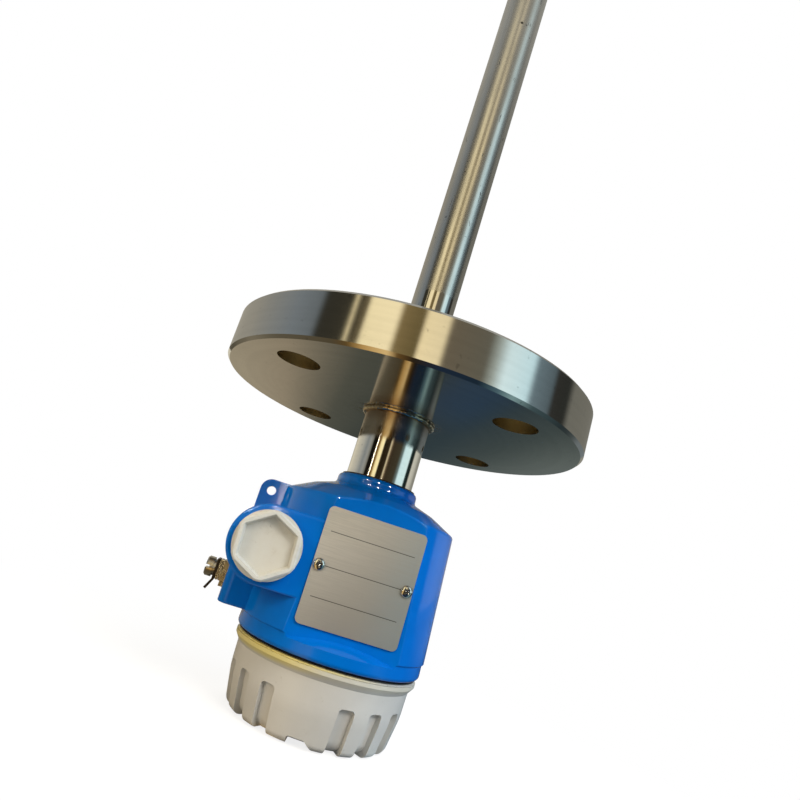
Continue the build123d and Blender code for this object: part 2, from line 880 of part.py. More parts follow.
# Screw cover: drafted cup with a stepped rim, grip pockets and notches in its foot
with BuildPart() as cover:
    thread_end = spigot_end - cover_spigot_gap
    with BuildSketch(Plane.XZ):
        with BuildLine():
            FilletPolyline(
                (0, cover_rim_top),
                (cover_rim_r, cover_rim_top),
                (cover_rim_r, cover_rim_top - cover_rim_height),
                (cover_top_r, cover_rim_top - cover_rim_height - cover_chamfer_height),
                (cover_break_r, cover_rim_top - cover_break_height),
                (cover_foot_r, cover_end),
                (0, cover_end),
                radius=[0, 0, 0, cover_break_round, cover_foot_round],
            )
            Line((0, cover_end), (0, cover_rim_top))
        make_face()
    revolve(axis=Axis.Z)
    with BuildSketch(Plane.XZ):
        with BuildLine():
            Polyline(
                (0, cover_rim_top),
                (thread_r, cover_rim_top),
                (thread_r, thread_end),
                (cover_cup_r, thread_end),
                (cover_cup_r - cup_draft, cover_end + cover_floor),
                (0, cover_end + cover_floor),
                close=True,
            )
        make_face()
    revolve(axis=Axis.Z, mode=Mode.SUBTRACT)
    add(pockets.part, mode=Mode.SUBTRACT)

    # One notch between two groups: steep on one side, slanted on the other
    for group in range(group_count):
        turn = group_turn + (group - 0.5) * 360 / group_count
        notch_plane = Plane(
            origin=Vector(cover_top_r, 0, cover_end).rotate(Axis.Z, turn),
            x_dir=Vector(0, 1, 0).rotate(Axis.Z, turn),
            z_dir=Vector(1, 0, 0).rotate(Axis.Z, turn),
        )
        with BuildSketch(notch_plane):
            with BuildLine():
                FilletPolyline(
                    (-notch_top_width / 2, -notch_depth),
                    (-notch_top_width / 2, notch_depth),
                    (notch_top_width / 2, notch_depth),
                    (notch_top_width / 2 + 2 * notch_slant, -notch_depth),
                    radius=notch_round,
                )
                Line(
                    (notch_top_width / 2 + 2 * notch_slant, -notch_depth),
                    (-notch_top_width / 2, -notch_depth),
                )
            make_face()
        extrude(amount=-(cover_top_r - cover_foot_r + notch_length), mode=Mode.SUBTRACT)
    with BuildSketch(Plane.XY.offset(cover_end)):
        Circle(cover_foot_r - foot_land)
    extrude(amount=foot_dish_depth, taper=foot_dish_taper, mode=Mode.SUBTRACT)
cover.part.label = "cover"
export_step(cover.part, "parts/cover.step")

# Nameplate on the pad and its two screws
with BuildPart() as nameplate:
    with BuildSketch(Plane.XZ.offset(pad_distance)):
        with Locations((0, plate_z)):
            RectangleRounded(plate_width, plate_height, plate_corner)
        with Locations((-plate_screw_offset, plate_z), (plate_screw_offset, plate_z)):
            Circle(plate_screw_d / 2 + thread_play, mode=Mode.SUBTRACT)
    extrude(amount=plate_thickness)
nameplate.part.label = "nameplate"
export_step(nameplate.part, "parts/nameplate.step")

with BuildPart() as nameplate_screws:
    head_plane = Plane.XZ.offset(pad_distance + plate_thickness)
    screw_places = [(-plate_screw_offset, plate_z), (plate_screw_offset, plate_z)]
    with BuildSketch(head_plane):
        with Locations(*screw_places):
            Circle(plate_head_d / 2)
    extrude(amount=plate_head_height)
    chamfer(nameplate_screws.edges().filter_by(GeomType.CIRCLE).group_by(Axis.Y)[0], plate_head_edge)
    with BuildSketch(head_plane):
        with Locations(*screw_places):
            Circle(plate_screw_d / 2)
    extrude(amount=-(plate_thickness + plate_screw_grip))
nameplate_screws.part.label = "nameplate_screws"
export_step(nameplate_screws.part, "parts/nameplate_screws.step")

# Flat seal under the entry plug's flange
with BuildPart() as entry_seal:
    with BuildSketch(Plane.XZ.offset(pad_distance + seal_play)):
        with Locations((-boss_offset, boss_z)):
            Circle(entry_thread_r + entry_clearance + entry_seal_width)
            Circle(entry_thread_r + entry_clearance, mode=Mode.SUBTRACT)
    extrude(amount=entry_seal_thickness)
entry_seal.part.label = "entry_seal"
export_step(entry_seal.part, "parts/entry_seal.step")

# Entry plug: threaded shank, round flange and a raised hexagon with a tapered socket
flange_level = pad_distance + entry_seal_thickness + 2 * seal_play
crest_level = flange_level + plug_flange_thickness + plug_hex_height
plug_shank_r = entry_thread_r - entry_clearance
shank_end = pad_distance - plug_thread_length
with BuildPart() as entry_plug:
    with BuildSketch(Plane.XZ.offset(flange_level)):
        with Locations((-boss_offset, boss_z)):
            Circle(plug_flange_r)
    extrude(amount=plug_flange_thickness)
    with BuildSketch(Plane.XZ.offset(flange_level)):
        with Locations((-boss_offset, boss_z)):
            RegularPolygon(plug_hex_outer / 2, 6, major_radius=False, rotation=90 + plug_turn)
            Circle(plug_flange_r, mode=Mode.INTERSECT)
    extrude(amount=plug_flange_thickness + plug_hex_height)
    chamfer(entry_plug.faces().sort_by(Axis.Y)[0].edges(), plug_crest_round)
    socket_taper = degrees(atan((plug_hex_inner - plug_hex_floor) / 2 / plug_hex_depth))
    with BuildSketch(Plane.XZ.offset(crest_level)):
        with Locations((-boss_offset, boss_z)):
            RegularPolygon(plug_hex_inner / 2, 6, major_radius=False, rotation=90 + plug_turn)
    extrude(amount=-plug_hex_depth, taper=socket_taper, mode=Mode.SUBTRACT)
    with BuildSketch(Plane.XZ.offset(shank_end)):
        with Locations((-boss_offset, boss_z)):
            Circle(plug_shank_r)
    extrude(amount=flange_level - shank_end)
    with BuildSketch(Plane.XZ.offset(shank_end)):
        with Locations((-boss_offset, boss_z)):
            Circle(plug_shank_r - plug_wall)
    extrude(amount=crest_level - plug_hex_depth - plug_floor - shank_end, mode=Mode.SUBTRACT)
entry_plug.part.label = "entry_plug"
export_step(entry_plug.part, "parts/entry_plug.step")

# Threaded bushing of the ground terminal, moulded into the block
with BuildPart() as ground_bushing:
    with BuildSketch(Plane.YZ.offset(-block_face)):
        with Locations((0, ground_z)):
            Circle(bushing_od / 2 - thread_play / 2)
            Circle(ground_screw_d / 2, mode=Mode.SUBTRACT)
    extrude(amount=bushing_length)
ground_bushing.part.label = "ground_bushing"
export_step(ground_bushing.part, "parts/ground_bushing.step")

# Square base plate with a nose that stops it turning
ground_hole_r = ground_screw_d / 2 + thread_play
with BuildPart() as ground_base_plate:
    with BuildSketch(Plane.YZ.offset(-block_face)):
        with Locations((0, ground_z)):
            Rectangle(clamp_side, clamp_side)
        with Locations((0, ground_z - clamp_side / 2 - base_nose_height / 2)):
            Rectangle(base_nose_width, base_nose_height)
        with Locations((0, ground_z)):
            Circle(ground_hole_r, mode=Mode.SUBTRACT)
    extrude(amount=-base_plate_thickness)
ground_base_plate.part.label = "ground_base_plate"
export_step(ground_base_plate.part, "parts/ground_base_plate.step")

# Two square clamp plates with turned-over edges
with BuildPart() as ground_clamp_plates:
    for index in range(clamp_count):
        level = block_face + base_plate_thickness + index * clamp_thickness
        with BuildSketch(Plane.YZ.offset(-level)):
            with Locations((0, ground_z)):
                Rectangle(clamp_side, clamp_side)
                Circle(ground_hole_r, mode=Mode.SUBTRACT)
        extrude(amount=-(clamp_thickness - clamp_crease))
        with BuildSketch(Plane.YZ.offset(-(level + clamp_thickness - clamp_crease))):
            with Locations((0, ground_z)):
                Rectangle(clamp_side - 4 * clamp_crease, clamp_side - 4 * clamp_crease)
                Circle(ground_hole_r, mode=Mode.SUBTRACT)
        extrude(amount=-clamp_crease)
ground_clamp_plates.part.label = "ground_clamp_plates"
export_step(ground_clamp_plates.part, "parts/ground_clamp_plates.step")

# Thin retaining plate with a splayed tail
tail_level = block_face + base_plate_thickness + clamp_count * clamp_thickness
with BuildPart() as ground_tail_plate:
    with BuildSketch(Plane.YZ.offset(-tail_level)):
        with Locations((0, ground_z)):
            Rectangle(clamp_side, clamp_side)
            Circle(ground_hole_r, mode=Mode.SUBTRACT)
    extrude(amount=-tail_plate_thickness)
    with BuildSketch(Plane.XZ):
        tail_root = Vector(-tail_level, 0, 0) + Vector(0, ground_z - clamp_side / 2, 0)
        tail_way = Vector(-1, 0, 0).rotate(Axis.Z, 90 - tail_splay)
        tail_across = Vector(-1, 0, 0).rotate(Axis.Z, -tail_splay)
        with BuildLine():
            Polyline(
                (tail_root.X, tail_root.Y + tail_plate_thickness),
                (tail_root.X, tail_root.Y),
                tail_root + tail_way * tail_length,
                tail_root + tail_way * tail_length + tail_across * tail_plate_thickness,
                (tail_root.X - tail_plate_thickness, tail_root.Y),
                (tail_root.X - tail_plate_thickness, tail_root.Y + tail_plate_thickness),
                close=True,
            )
        make_face()
    extrude(amount=tail_width / 2, both=True)
ground_tail_plate.part.label = "ground_tail_plate"
export_step(ground_tail_plate.part, "parts/ground_tail_plate.step")

# Split lock washer and slotted cheese-head screw
washer_level = tail_level + tail_plate_thickness
with BuildPart() as ground_lock_washer:
    with BuildSketch(Plane.YZ.offset(-washer_level)):
        with Locations((0, ground_z)):
            Circle(lock_washer_od / 2)
            Circle(ground_hole_r, mode=Mode.SUBTRACT)
        with Locations((lock_washer_od / 2, ground_z)):
            Rectangle(lock_washer_od / 2, lock_washer_gap, mode=Mode.SUBTRACT)
    extrude(amount=-lock_washer_thickness)
ground_lock_washer.part.label = "ground_lock_washer"
export_step(ground_lock_washer.part, "parts/ground_lock_washer.step")

head_level = washer_level + lock_washer_thickness
with BuildPart() as ground_screw:
    with BuildSketch(Plane.YZ.offset(-head_level)):
        with Locations((0, ground_z)):
            Circle(ground_head_d / 2)
    extrude(amount=-ground_head_height)
    chamfer(ground_screw.edges().filter_by(GeomType.CIRCLE).group_by(Axis.X)[0], ground_head_edge)
    with BuildSketch(Plane.YZ.offset(-head_level - ground_head_height)):
        with Locations((0, ground_z)):
            Rectangle(2 * ground_head_d, ground_slot)
    extrude(amount=ground_slot_depth, mode=Mode.SUBTRACT)
    with BuildSketch(Plane.YZ.offset(-head_level)):
        with Locations((0, ground_z)):
            Circle(ground_screw_d / 2 - thread_play / 2)
    extrude(amount=head_level - block_face + bushing_length - bushing_floor)
ground_screw.part.label = "ground_screw"
export_step(ground_screw.part, "parts/ground_screw.step")

# Connector on the insert's back and the round lead up to the feedthrough
with BuildPart() as lead_connector:
    with BuildSketch(Plane.XY.offset(insert_back)):
        Circle(connector_d / 2)
    extrude(amount=connector_height)
    chamfer(lead_connector.edges().filter_by(GeomType.CIRCLE).group_by(Axis.Z)[-1], insert_edge)
lead_connector.part.label = "lead_connector"
export_step(lead_connector.part, "parts/lead_connector.step")

with BuildPart() as insert_lead:
    lead_low = insert_back + connector_height
    lead_high = feedthrough_top - feedthrough_length - axial_play
    with BuildSketch(Plane.XY.offset(lead_low)):
        Circle(insert_lead_d / 2)
    extrude(amount=lead_high - lead_low)
insert_lead.part.label = "insert_lead"
export_step(insert_lead.part, "parts/insert_lead.step")

# Electronic insert: potted round module with two raised switch frames
with BuildPart() as electronic_insert:
    with BuildSketch(Plane.XY.offset(insert_face)):
        Circle(insert_r)
        with PolarLocations(inner_ground_circle, 1, start_angle=inner_ground_turn):
            Circle(column_r + insert_edge, mode=Mode.SUBTRACT)
    extrude(amount=insert_height)
    with BuildSketch(Plane.XY.offset(insert_face)):
        with PolarLocations(post_circle, 2, start_angle=90):
            Circle(insert_screw_d / 2 + thread_play)
    extrude(amount=insert_height, mode=Mode.SUBTRACT)
    with BuildSketch(Plane.XY.offset(insert_face)):
        with PolarLocations(post_circle, 2, start_angle=90):
            Circle(insert_head_d / 2 + axial_play)
    extrude(amount=insert_head_sink, mode=Mode.SUBTRACT)
    frame_places = [(-switch_spacing / 2, -switch_offset), (switch_spacing / 2, -switch_offset)]
    with BuildSketch(Plane.XY.offset(insert_face)):
        with Locations(*frame_places):
            Rectangle(switch_frame_length, switch_frame_width)
            Rectangle(switch_slot_length, switch_slot_width, mode=Mode.SUBTRACT)
    extrude(amount=-switch_frame_height)
electronic_insert.part.label = "electronic_insert"
export_step(electronic_insert.part, "parts/electronic_insert.step")

with BuildPart() as insert_screws:
    head_seat = insert_face + insert_head_sink
    with BuildSketch(Plane.XY.offset(head_seat)):
        with PolarLocations(post_circle, 2, start_angle=90):
            Circle(insert_head_d / 2)
    extrude(amount=-insert_head_height)
    with BuildSketch(Plane.XY.offset(head_seat)):
        with PolarLocations(post_circle, 2, start_angle=90):
            Circle(insert_screw_d / 2)
    extrude(amount=insert_back - head_seat + insert_grip)
insert_screws.part.label = "insert_screws"
export_step(insert_screws.part, "parts/insert_screws.step")

# Terminal block: stepped moulding with a wire hole and a screw shaft for each pole
block_low = insert_face - terminal_height
block_length = terminal_count * terminal_pitch + 2 * terminal_margin
block_front = terminal_offset - terminal_width / 2
wire_z = insert_face - terminal_height + terminal_step + wire_hole / 2 + terminal_edge
pole_places = [
    ((index - (terminal_count - 1) / 2) * terminal_pitch, terminal_offset + terminal_step / 2)
    for index in range(terminal_count)
]
with BuildPart() as terminal_block:
    with BuildSketch(Plane.YZ):
        with BuildLine():
            Polyline(
                (block_front, insert_face),
                (block_front + terminal_width, insert_face),
                (block_front + terminal_width, block_low),
                (block_front + terminal_step, block_low),
                (block_front + terminal_step, block_low + terminal_step / 2),
                (block_front, block_low + terminal_step),
                close=True,
            )
        make_face()
    extrude(amount=block_length / 2, both=True)
    with BuildSketch(Plane.XY.offset(block_low)):
        with Locations(*pole_places):
            Circle(terminal_screw_d / 2 + clamp_play)
    extrude(amount=terminal_step, mode=Mode.SUBTRACT)
    with BuildSketch(Plane.XZ.offset(-block_front)):
        with Locations(*[(place[0], wire_z) for place in pole_places]):
            Rectangle(wire_hole, wire_hole)
    extrude(amount=-(terminal_width - 2 * terminal_margin), mode=Mode.SUBTRACT)
terminal_block.part.label = "terminal_block"
export_step(terminal_block.part, "parts/terminal_block.step")

with BuildPart() as terminal_clamps:
    with BuildSketch(Plane.XZ.offset(-block_front - terminal_margin)):
        with Locations(*[(place[0], wire_z) for place in pole_places]):
            Rectangle(wire_hole - clamp_play, wire_hole - clamp_play)
            Rectangle(wire_hole - 2 * terminal_slot, wire_hole - 2 * terminal_slot, mode=Mode.SUBTRACT)
    extrude(amount=-(terminal_width - 4 * terminal_margin))
terminal_clamps.part.label = "terminal_clamps"
export_step(terminal_clamps.part, "parts/terminal_clamps.step")

with BuildPart() as terminal_screws:
    with BuildSketch(Plane.XY.offset(block_low + terminal_edge)):
        with Locations(*pole_places):
            Circle(terminal_screw_d / 2)
    extrude(amount=terminal_step - terminal_edge)
    with BuildSketch(Plane.XY.offset(block_low + terminal_edge)):
        with Locations(*pole_places):
            Rectangle(terminal_screw_d, terminal_slot)
    extrude(amount=terminal_slot, mode=Mode.SUBTRACT)
terminal_screws.part.label = "terminal_screws"
export_step(terminal_screws.part, "parts/terminal_screws.step")

# Sliders of the safety-direction switch and the density switch, at one end of their slots
slider_shift = (switch_slot_length - slider_length) / 2 - slider_play
with BuildPart() as safety_slider:
    with BuildSketch(Plane.XY.offset(insert_face - slider_play)):
        with Locations((-switch_spacing / 2 - slider_shift, -switch_offset)):
            Rectangle(slider_length, switch_slot_width - 2 * slider_play)
    extrude(amount=-slider_height)
    chamfer(safety_slider.faces().sort_by(Axis.Z)[0].edges(), slider_edge)
safety_slider.part.label = "safety_slider"
export_step(safety_slider.part, "parts/safety_slider.step")

with BuildPart() as density_slider:
    with BuildSketch(Plane.XY.offset(insert_face - slider_play)):
        with Locations((switch_spacing / 2 - slider_shift, -switch_offset)):
            Rectangle(slider_length, switch_slot_width - 2 * slider_play)
    extrude(amount=-slider_height)
    chamfer(density_slider.faces().sort_by(Axis.Z)[0].edges(), slider_edge)
density_slider.part.label = "density_slider"
export_step(density_slider.part, "parts/density_slider.step")

# Indicator lights in the insert's face
with BuildPart() as power_light:
    with BuildSketch(Plane.XY.offset(insert_face)):
        with Locations((-led_spacing / 2, -led_offset)):
            Circle(led_d / 2)
    extrude(amount=-led_height)
power_light.part.label = "power_light"
export_step(power_light.part, "parts/power_light.step")

with BuildPart() as switch_light:
    with BuildSketch(Plane.XY.offset(insert_face)):
        with Locations((led_spacing / 2, -led_offset)):
            Circle(led_d / 2)
    extrude(amount=-led_height)
switch_light.part.label = "switch_light"
export_step(switch_light.part, "parts/switch_light.step")

# Inner ground terminal at the end of the column beside the insert
with BuildPart() as inner_ground_bushing:
    with BuildSketch(Plane.XY.offset(column_end)):
        with PolarLocations(inner_ground_circle, 1, start_angle=inner_ground_turn):
            Circle(inner_bushing_d / 2 - thread_play / 2)
            Circle(inner_screw_d / 2 + thread_play / 2, mode=Mode.SUBTRACT)
    extrude(amount=inner_bushing_length)
inner_ground_bushing.part.label = "inner_ground_bushing"
export_step(inner_ground_bushing.part, "parts/inner_ground_bushing.step")

with BuildPart() as inner_ground_clamp:
    with BuildSketch(Plane.XY.offset(column_end)):
        with PolarLocations(inner_ground_circle, 1, start_angle=inner_ground_turn):
            Circle(column_r - thread_play)
            Circle(inner_screw_d / 2 + thread_play, mode=Mode.SUBTRACT)
    extrude(amount=-inner_clamp_thickness)
inner_ground_clamp.part.label = "inner_ground_clamp"
export_step(inner_ground_clamp.part, "parts/inner_ground_clamp.step")

with BuildPart() as inner_ground_screw:
    inner_seat = column_end - inner_clamp_thickness
    with BuildSketch(Plane.XY.offset(inner_seat)):
        with PolarLocations(inner_ground_circle, 1, start_angle=inner_ground_turn):
            Circle(inner_head_d / 2)
    extrude(amount=-inner_head_height)
    with BuildSketch(Plane.XY.offset(inner_seat)):
        with PolarLocations(inner_ground_circle, 1, start_angle=inner_ground_turn):
            Circle(inner_screw_d / 2)
    extrude(amount=inner_clamp_thickness + inner_grip)
inner_ground_screw.part.label = "inner_ground_screw"
export_step(inner_ground_screw.part, "parts/inner_ground_screw.step")
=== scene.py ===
import math

import bpy
from mathutils import Matrix, Vector


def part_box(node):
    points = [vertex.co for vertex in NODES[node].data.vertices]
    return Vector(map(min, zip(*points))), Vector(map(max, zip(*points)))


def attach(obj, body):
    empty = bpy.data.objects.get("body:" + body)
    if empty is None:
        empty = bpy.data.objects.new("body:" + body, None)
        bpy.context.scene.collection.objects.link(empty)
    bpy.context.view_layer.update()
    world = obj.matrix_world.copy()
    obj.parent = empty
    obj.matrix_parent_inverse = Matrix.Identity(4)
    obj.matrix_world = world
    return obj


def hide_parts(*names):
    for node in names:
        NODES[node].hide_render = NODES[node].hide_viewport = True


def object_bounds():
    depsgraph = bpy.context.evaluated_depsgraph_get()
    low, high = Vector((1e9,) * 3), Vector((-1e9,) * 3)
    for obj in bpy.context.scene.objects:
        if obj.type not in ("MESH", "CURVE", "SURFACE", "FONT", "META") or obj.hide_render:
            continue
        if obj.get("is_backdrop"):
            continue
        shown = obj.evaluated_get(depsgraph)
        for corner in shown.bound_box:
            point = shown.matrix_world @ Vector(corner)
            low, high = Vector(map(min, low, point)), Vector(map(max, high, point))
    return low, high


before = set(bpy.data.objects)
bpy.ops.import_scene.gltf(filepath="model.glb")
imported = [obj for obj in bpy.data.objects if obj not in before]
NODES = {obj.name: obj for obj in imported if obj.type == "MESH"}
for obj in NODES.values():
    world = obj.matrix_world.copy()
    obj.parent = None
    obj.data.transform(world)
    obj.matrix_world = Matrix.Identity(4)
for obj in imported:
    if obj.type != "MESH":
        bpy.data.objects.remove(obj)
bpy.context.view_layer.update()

bl_info = {
    "name": "Vibrating Fork Level Switch",
    "version": (1, 0, 0),
    "blender": (4, 5, 0),
    "location": "View3D > Sidebar > Level Switch",
    "description": "Dresses the packed level switch with finishes, welds and threads and sets its stage",
    "category": "Object",
}

# Places on the probe, in metres along Z
FLANGE_BACK = -0.020
NECK_HEAT = -0.0215
POLISHED_TO = 0.042
FORK_WELD = 0.464

# Bolt holes of the flange: half the side of their square, the radius drawn bright, and the square's turn
BOLT_HOLES = (0.0442, 0.00905, math.radians(8.6))

# Direction of the cover's most yellowed side, along X and Y
AGED_SIDE = (-0.86, -0.5)

# Thread ridge of the spigot: its root, half its foot in pitches, and its steps in a turn
SPIGOT_RADIUS = 0.035
RIDGE_FOOT = 0.3
RIDGE_STEPS = 72

# Nameplate: the heads' share of the modelled screws, the fields' levels, and half a ruled line
HEAD_SHARE = 1.2
RULE_LEVELS = (0.79, 0.5, 0.235)
RULE_HALF = 0.0172

# Weld run of the neck, in heights of the modelled bead: its middle and its thickness, and its squash along Z
RUN_MIDDLE = 0.42
RUN_THICK = 0.85
RUN_SQUASH = 0.8

FLOOR_GAP = 0.0003

# The photograph's camera: focal length and centre in pixels of a picture this wide, and where it stood
FOCAL_PIXELS = 580.63
PICTURE_CENTRE = (368.13, 419.91)
PICTURE_SIDE = 800
CAMERA_PLACE = (-0.03849, -0.26029, -0.08349)


def paint(red, green, blue):
    """A colour read from a screen, 0 to 255, as Blender's linear values."""
    return tuple(((v / 255 + 0.055) / 1.055) ** 2.4 if v > 10 else v / 255 / 12.92 for v in (red, green, blue))


def colour_of(name, description, *tone):
    """A colour that the panel shows."""
    return bpy.props.FloatVectorProperty(
        name=name, description=description, subtype="COLOR", size=3, min=0, max=1, default=paint(*tone))


def length_of(name, description, least, most, usual):
    """A length in metres that the panel shows."""
    return bpy.props.FloatProperty(
        name=name, description=description, subtype="DISTANCE", unit="LENGTH", min=least, max=most, default=usual)


class LevelSwitchColours(bpy.types.PropertyGroup):
    """Colours of the finishes"""

    housing_blue: colour_of("Housing Blue", "Colour of the housing moulding", 0, 113, 214)
    cover_grey: colour_of("Cover Grey", "Colour of the screw cover", 211, 210, 206)
    cover_yellow: colour_of("Cover Yellowing", "Colour of the aged plastic at the cover's rim", 222, 208, 134)
    plug_white: colour_of("Plug White", "Colour of the entry plug", 218, 219, 214)
    steel: colour_of("Stainless Steel", "Colour of the bare stainless parts", 214, 210, 202)
    nameplate_steel: colour_of("Nameplate Steel", "Colour of the brushed nameplate", 216, 210, 199)
    brass: colour_of("Brass", "Colour of the brass terminal parts", 196, 164, 96)
    rubber: colour_of("Seal Black", "Colour of the rubber seals", 20, 20, 20)


class LevelSwitchSizes(bpy.types.PropertyGroup):
    """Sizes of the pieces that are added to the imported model"""

    weld_swell: length_of("Weld Unevenness", "How far the neck's weld run swells and dips", 0.0, 0.0008, 0.0008)
    screw_dome: length_of("Screw Dome", "Height of the domed heads on the nameplate", 0.0005, 0.0016, 0.0012)
    thread_height: length_of("Thread Ridge", "Height of the thread ridge on the spigot", 0.00005, 0.0003, 0.00022)
    cover_pitch: length_of("Cover Thread Pitch", "Distance between two ridges on the spigot", 0.001, 0.006, 0.004)
    floor_size: length_of("Floor Size", "Side of the floor", 1.0, 20.0, 8.0)


# ---- Node helpers: a tree is written as a few nested calls ----

def new_finish(name):
    """An empty material with its shader, ready for nodes."""
    finish = bpy.data.materials.new(name)
    finish.use_nodes = True
    tree = finish.node_tree
    return finish, tree, tree.nodes["Principled BSDF"]


def put(tree, kind, inputs=None, **settings):
    """Adds a node, sets it up and links or fills its inputs."""
    made = tree.nodes.new(kind)
    for key, value in settings.items():
        setattr(made, key, value)
    for key, value in (inputs or {}).items():
        if isinstance(value, bpy.types.NodeSocket):
            tree.links.new(value, made.inputs[key])
        else:
            made.inputs[key].default_value = value
    made.location = (-200 * (len(tree.nodes) % 8), -160 * (len(tree.nodes) // 8))
    return made


def sums(tree, operation, *values, clamp=False):
    """One Math node's output."""
    return put(tree, "ShaderNodeMath", dict(enumerate(values)), operation=operation, use_clamp=clamp).outputs[0]


def place(tree):
    """Object coordinates."""
    return put(tree, "ShaderNodeTexCoord").outputs["Object"]


def stretched(tree, scale, offset=(0, 0, 0), turn=(0, 0, 0)):
    """Object coordinates through a Mapping node."""
    return put(tree, "ShaderNodeMapping", {
        "Vector": place(tree), "Scale": scale, "Location": offset, "Rotation": turn}).outputs[0]


def noise(tree, vector, scale, detail=3.0, rough=0.55, warp=0.0):
    """A noise pattern's value."""
    return put(tree, "ShaderNodeTexNoise", {
        "Vector": vector, "Scale": scale, "Detail": detail, "Roughness": rough, "Distortion": warp,
    }).outputs["Fac"]


def ramp(tree, value, low, high, start=0.0, end=1.0):
    """Maps low..high to start..end with soft ends."""
    return put(tree, "ShaderNodeMapRange", {
        "Value": value, "From Min": low, "From Max": high, "To Min": start, "To Max": end,
    }, interpolation_type="SMOOTHSTEP").outputs[0]


def blended(tree, factor, first, second, mode="MIX"):
    """Mixes two colours."""
    return put(tree, "ShaderNodeMix", {
        0: factor,
        6: (*first, 1) if isinstance(first, tuple) and len(first) == 3 else first,
        7: (*second, 1) if isinstance(second, tuple) and len(second) == 3 else second,
    }, data_type="RGBA", blend_type=mode).outputs[2]


def split(tree, vector):
    """X, Y and Z of a vector."""
    made = put(tree, "ShaderNodeSeparateXYZ", {0: vector})
    return made.outputs[0], made.outputs[1], made.outputs[2]


def apart(tree, value, level):
    """A value less another."""
    return sums(tree, "SUBTRACT", value, level)


def from_level(tree, value, level):
    """How far a value is from a level, to either side."""
    return sums(tree, "ABSOLUTE", apart(tree, value, level))


def azimuth(tree, x, y):
    """Degrees from +X towards +Y."""
    return sums(tree, "MULTIPLY", sums(tree, "ARCTAN2", y, x), 180 / math.pi)


def from_axis(tree, x, y):
    """Distance from the object's long axis."""
    return sums(tree, "SQRT", sums(tree, "ADD", sums(tree, "MULTIPLY", x, x), sums(tree, "MULTIPLY", y, y)))


def towards_aged_side(tree, x, y):
    """Distance towards the side of the cover that has yellowed most."""
    return sums(tree, "ADD", sums(tree, "MULTIPLY", x, AGED_SIDE[0]), sums(tree, "MULTIPLY", y, AGED_SIDE[1]))


def relief(tree, shader, height, distance, strength=1.0):
    """Bump on a shader."""
    made = put(tree, "ShaderNodeBump", {"Height": height, "Distance": distance, "Strength": strength})
    tree.links.new(made.outputs[0], shader.inputs["Normal"])


def scaled(colour, factor):
    """A colour made lighter or darker."""
    return tuple(min(1.0, max(0.0, v * factor)) for v in colour)


def finish_nodes(finish, *names):
    """Assigns a finish to CAD nodes."""
    for name in names:
        piece = NODES[name]
        for slot in piece.material_slots:
            slot.material = finish


# ---- Finishes ----

def turned_steel(name, colour, groove, rough=(0.22, 0.4), stain=0.35, tint=None, bores=None):
    """Stainless steel with turning marks round the Z axis and light staining."""
    finish, tree, shader = new_finish(name)
    x, y, z = split(tree, place(tree))
    out = from_axis(tree, x, y)
    run = sums(tree, "ADD", out, z)
    if bores:
        at, radius, turned = bores
        across, along = split(tree, stretched(tree, (1, 1, 1), turn=(0, 0, turned)))[:2]
        aside = from_axis(tree, *(apart(tree, sums(tree, "ABSOLUTE", v), at) for v in (across, along)))
        drilled = sums(tree, "LESS_THAN", aside, radius)
        plain = sums(tree, "SUBTRACT", 1.0, drilled)
        run = sums(tree, "ADD", sums(tree, "MULTIPLY", z, ramp(tree, plain, 0.0, 1.0, 0.25, 1.0)),
                   sums(tree, "MULTIPLY", out, plain))
    marks, bands = (
        put(tree, "ShaderNodeTexNoise", {"W": sums(tree, "MULTIPLY", run, rate), "Scale": 1.0, "Detail": detail},
            noise_dimensions="1D").outputs["Fac"] for rate, detail in ((1 / groove, 2.0), (260.0, 1.0)))
    cloud = noise(tree, place(tree), 26.0, 5.0, 0.62)
    spots = ramp(tree, noise(tree, place(tree), 420.0, 2.0), 0.66, 0.78)
    base = blended(tree, ramp(tree, cloud, 0.35, 0.75, 0.0, stain), colour, scaled(colour, 0.62))
    base = blended(tree, ramp(tree, bands, 0.3, 0.7, 0.0, 0.25), base, scaled(colour, 0.8))
    base = blended(tree, sums(tree, "MULTIPLY", spots, 0.35), base, scaled(colour, 0.35))
    if tint:
        level, reach, shade = tint
        from_weld = from_level(tree, z, level)
        near = ramp(tree, from_weld, 0.0, reach, 1.0, 0.0)
        base = blended(tree, sums(tree, "MULTIPLY", near, 0.5), base, shade)
    dull = ramp(tree, sums(tree, "ADD", cloud, sums(tree, "MULTIPLY", marks, 0.4)), 0.4, 1.0, *rough)
    if tint:
        dull = sums(tree, "ADD", dull, ramp(tree, from_weld, reach * 0.6, reach * 1.7, 0.14, 0.0))
    if bores:
        base = blended(tree, drilled, base, paint(206, 192, 158))
        burnt = sums(tree, "MULTIPLY", ramp(tree, out, 0.0165, 0.0245, 1.0, 0.0),
                     ramp(tree, noise(tree, place(tree), 240.0, 4.0, 0.6), 0.42, 0.56))
        base = blended(tree, sums(tree, "MULTIPLY", burnt, 0.7), base, paint(176, 162, 132))
        dull = sums(tree, "ADD", dull, sums(tree, "MULTIPLY", sums(tree, "MAXIMUM", burnt, drilled), 0.25))
    tree.links.new(base, shader.inputs["Base Color"])
    tree.links.new(dull, shader.inputs["Roughness"])
    shader.inputs["Metallic"].default_value = 1.0
    shader.inputs["Anisotropic"].default_value = 0.35
    tangent = put(tree, "ShaderNodeTangent", direction_type="RADIAL", axis="Z")
    tree.links.new(tangent.outputs[0], shader.inputs["Tangent"])
    relief(tree, shader, marks, 0.00001, 0.3)
    return finish


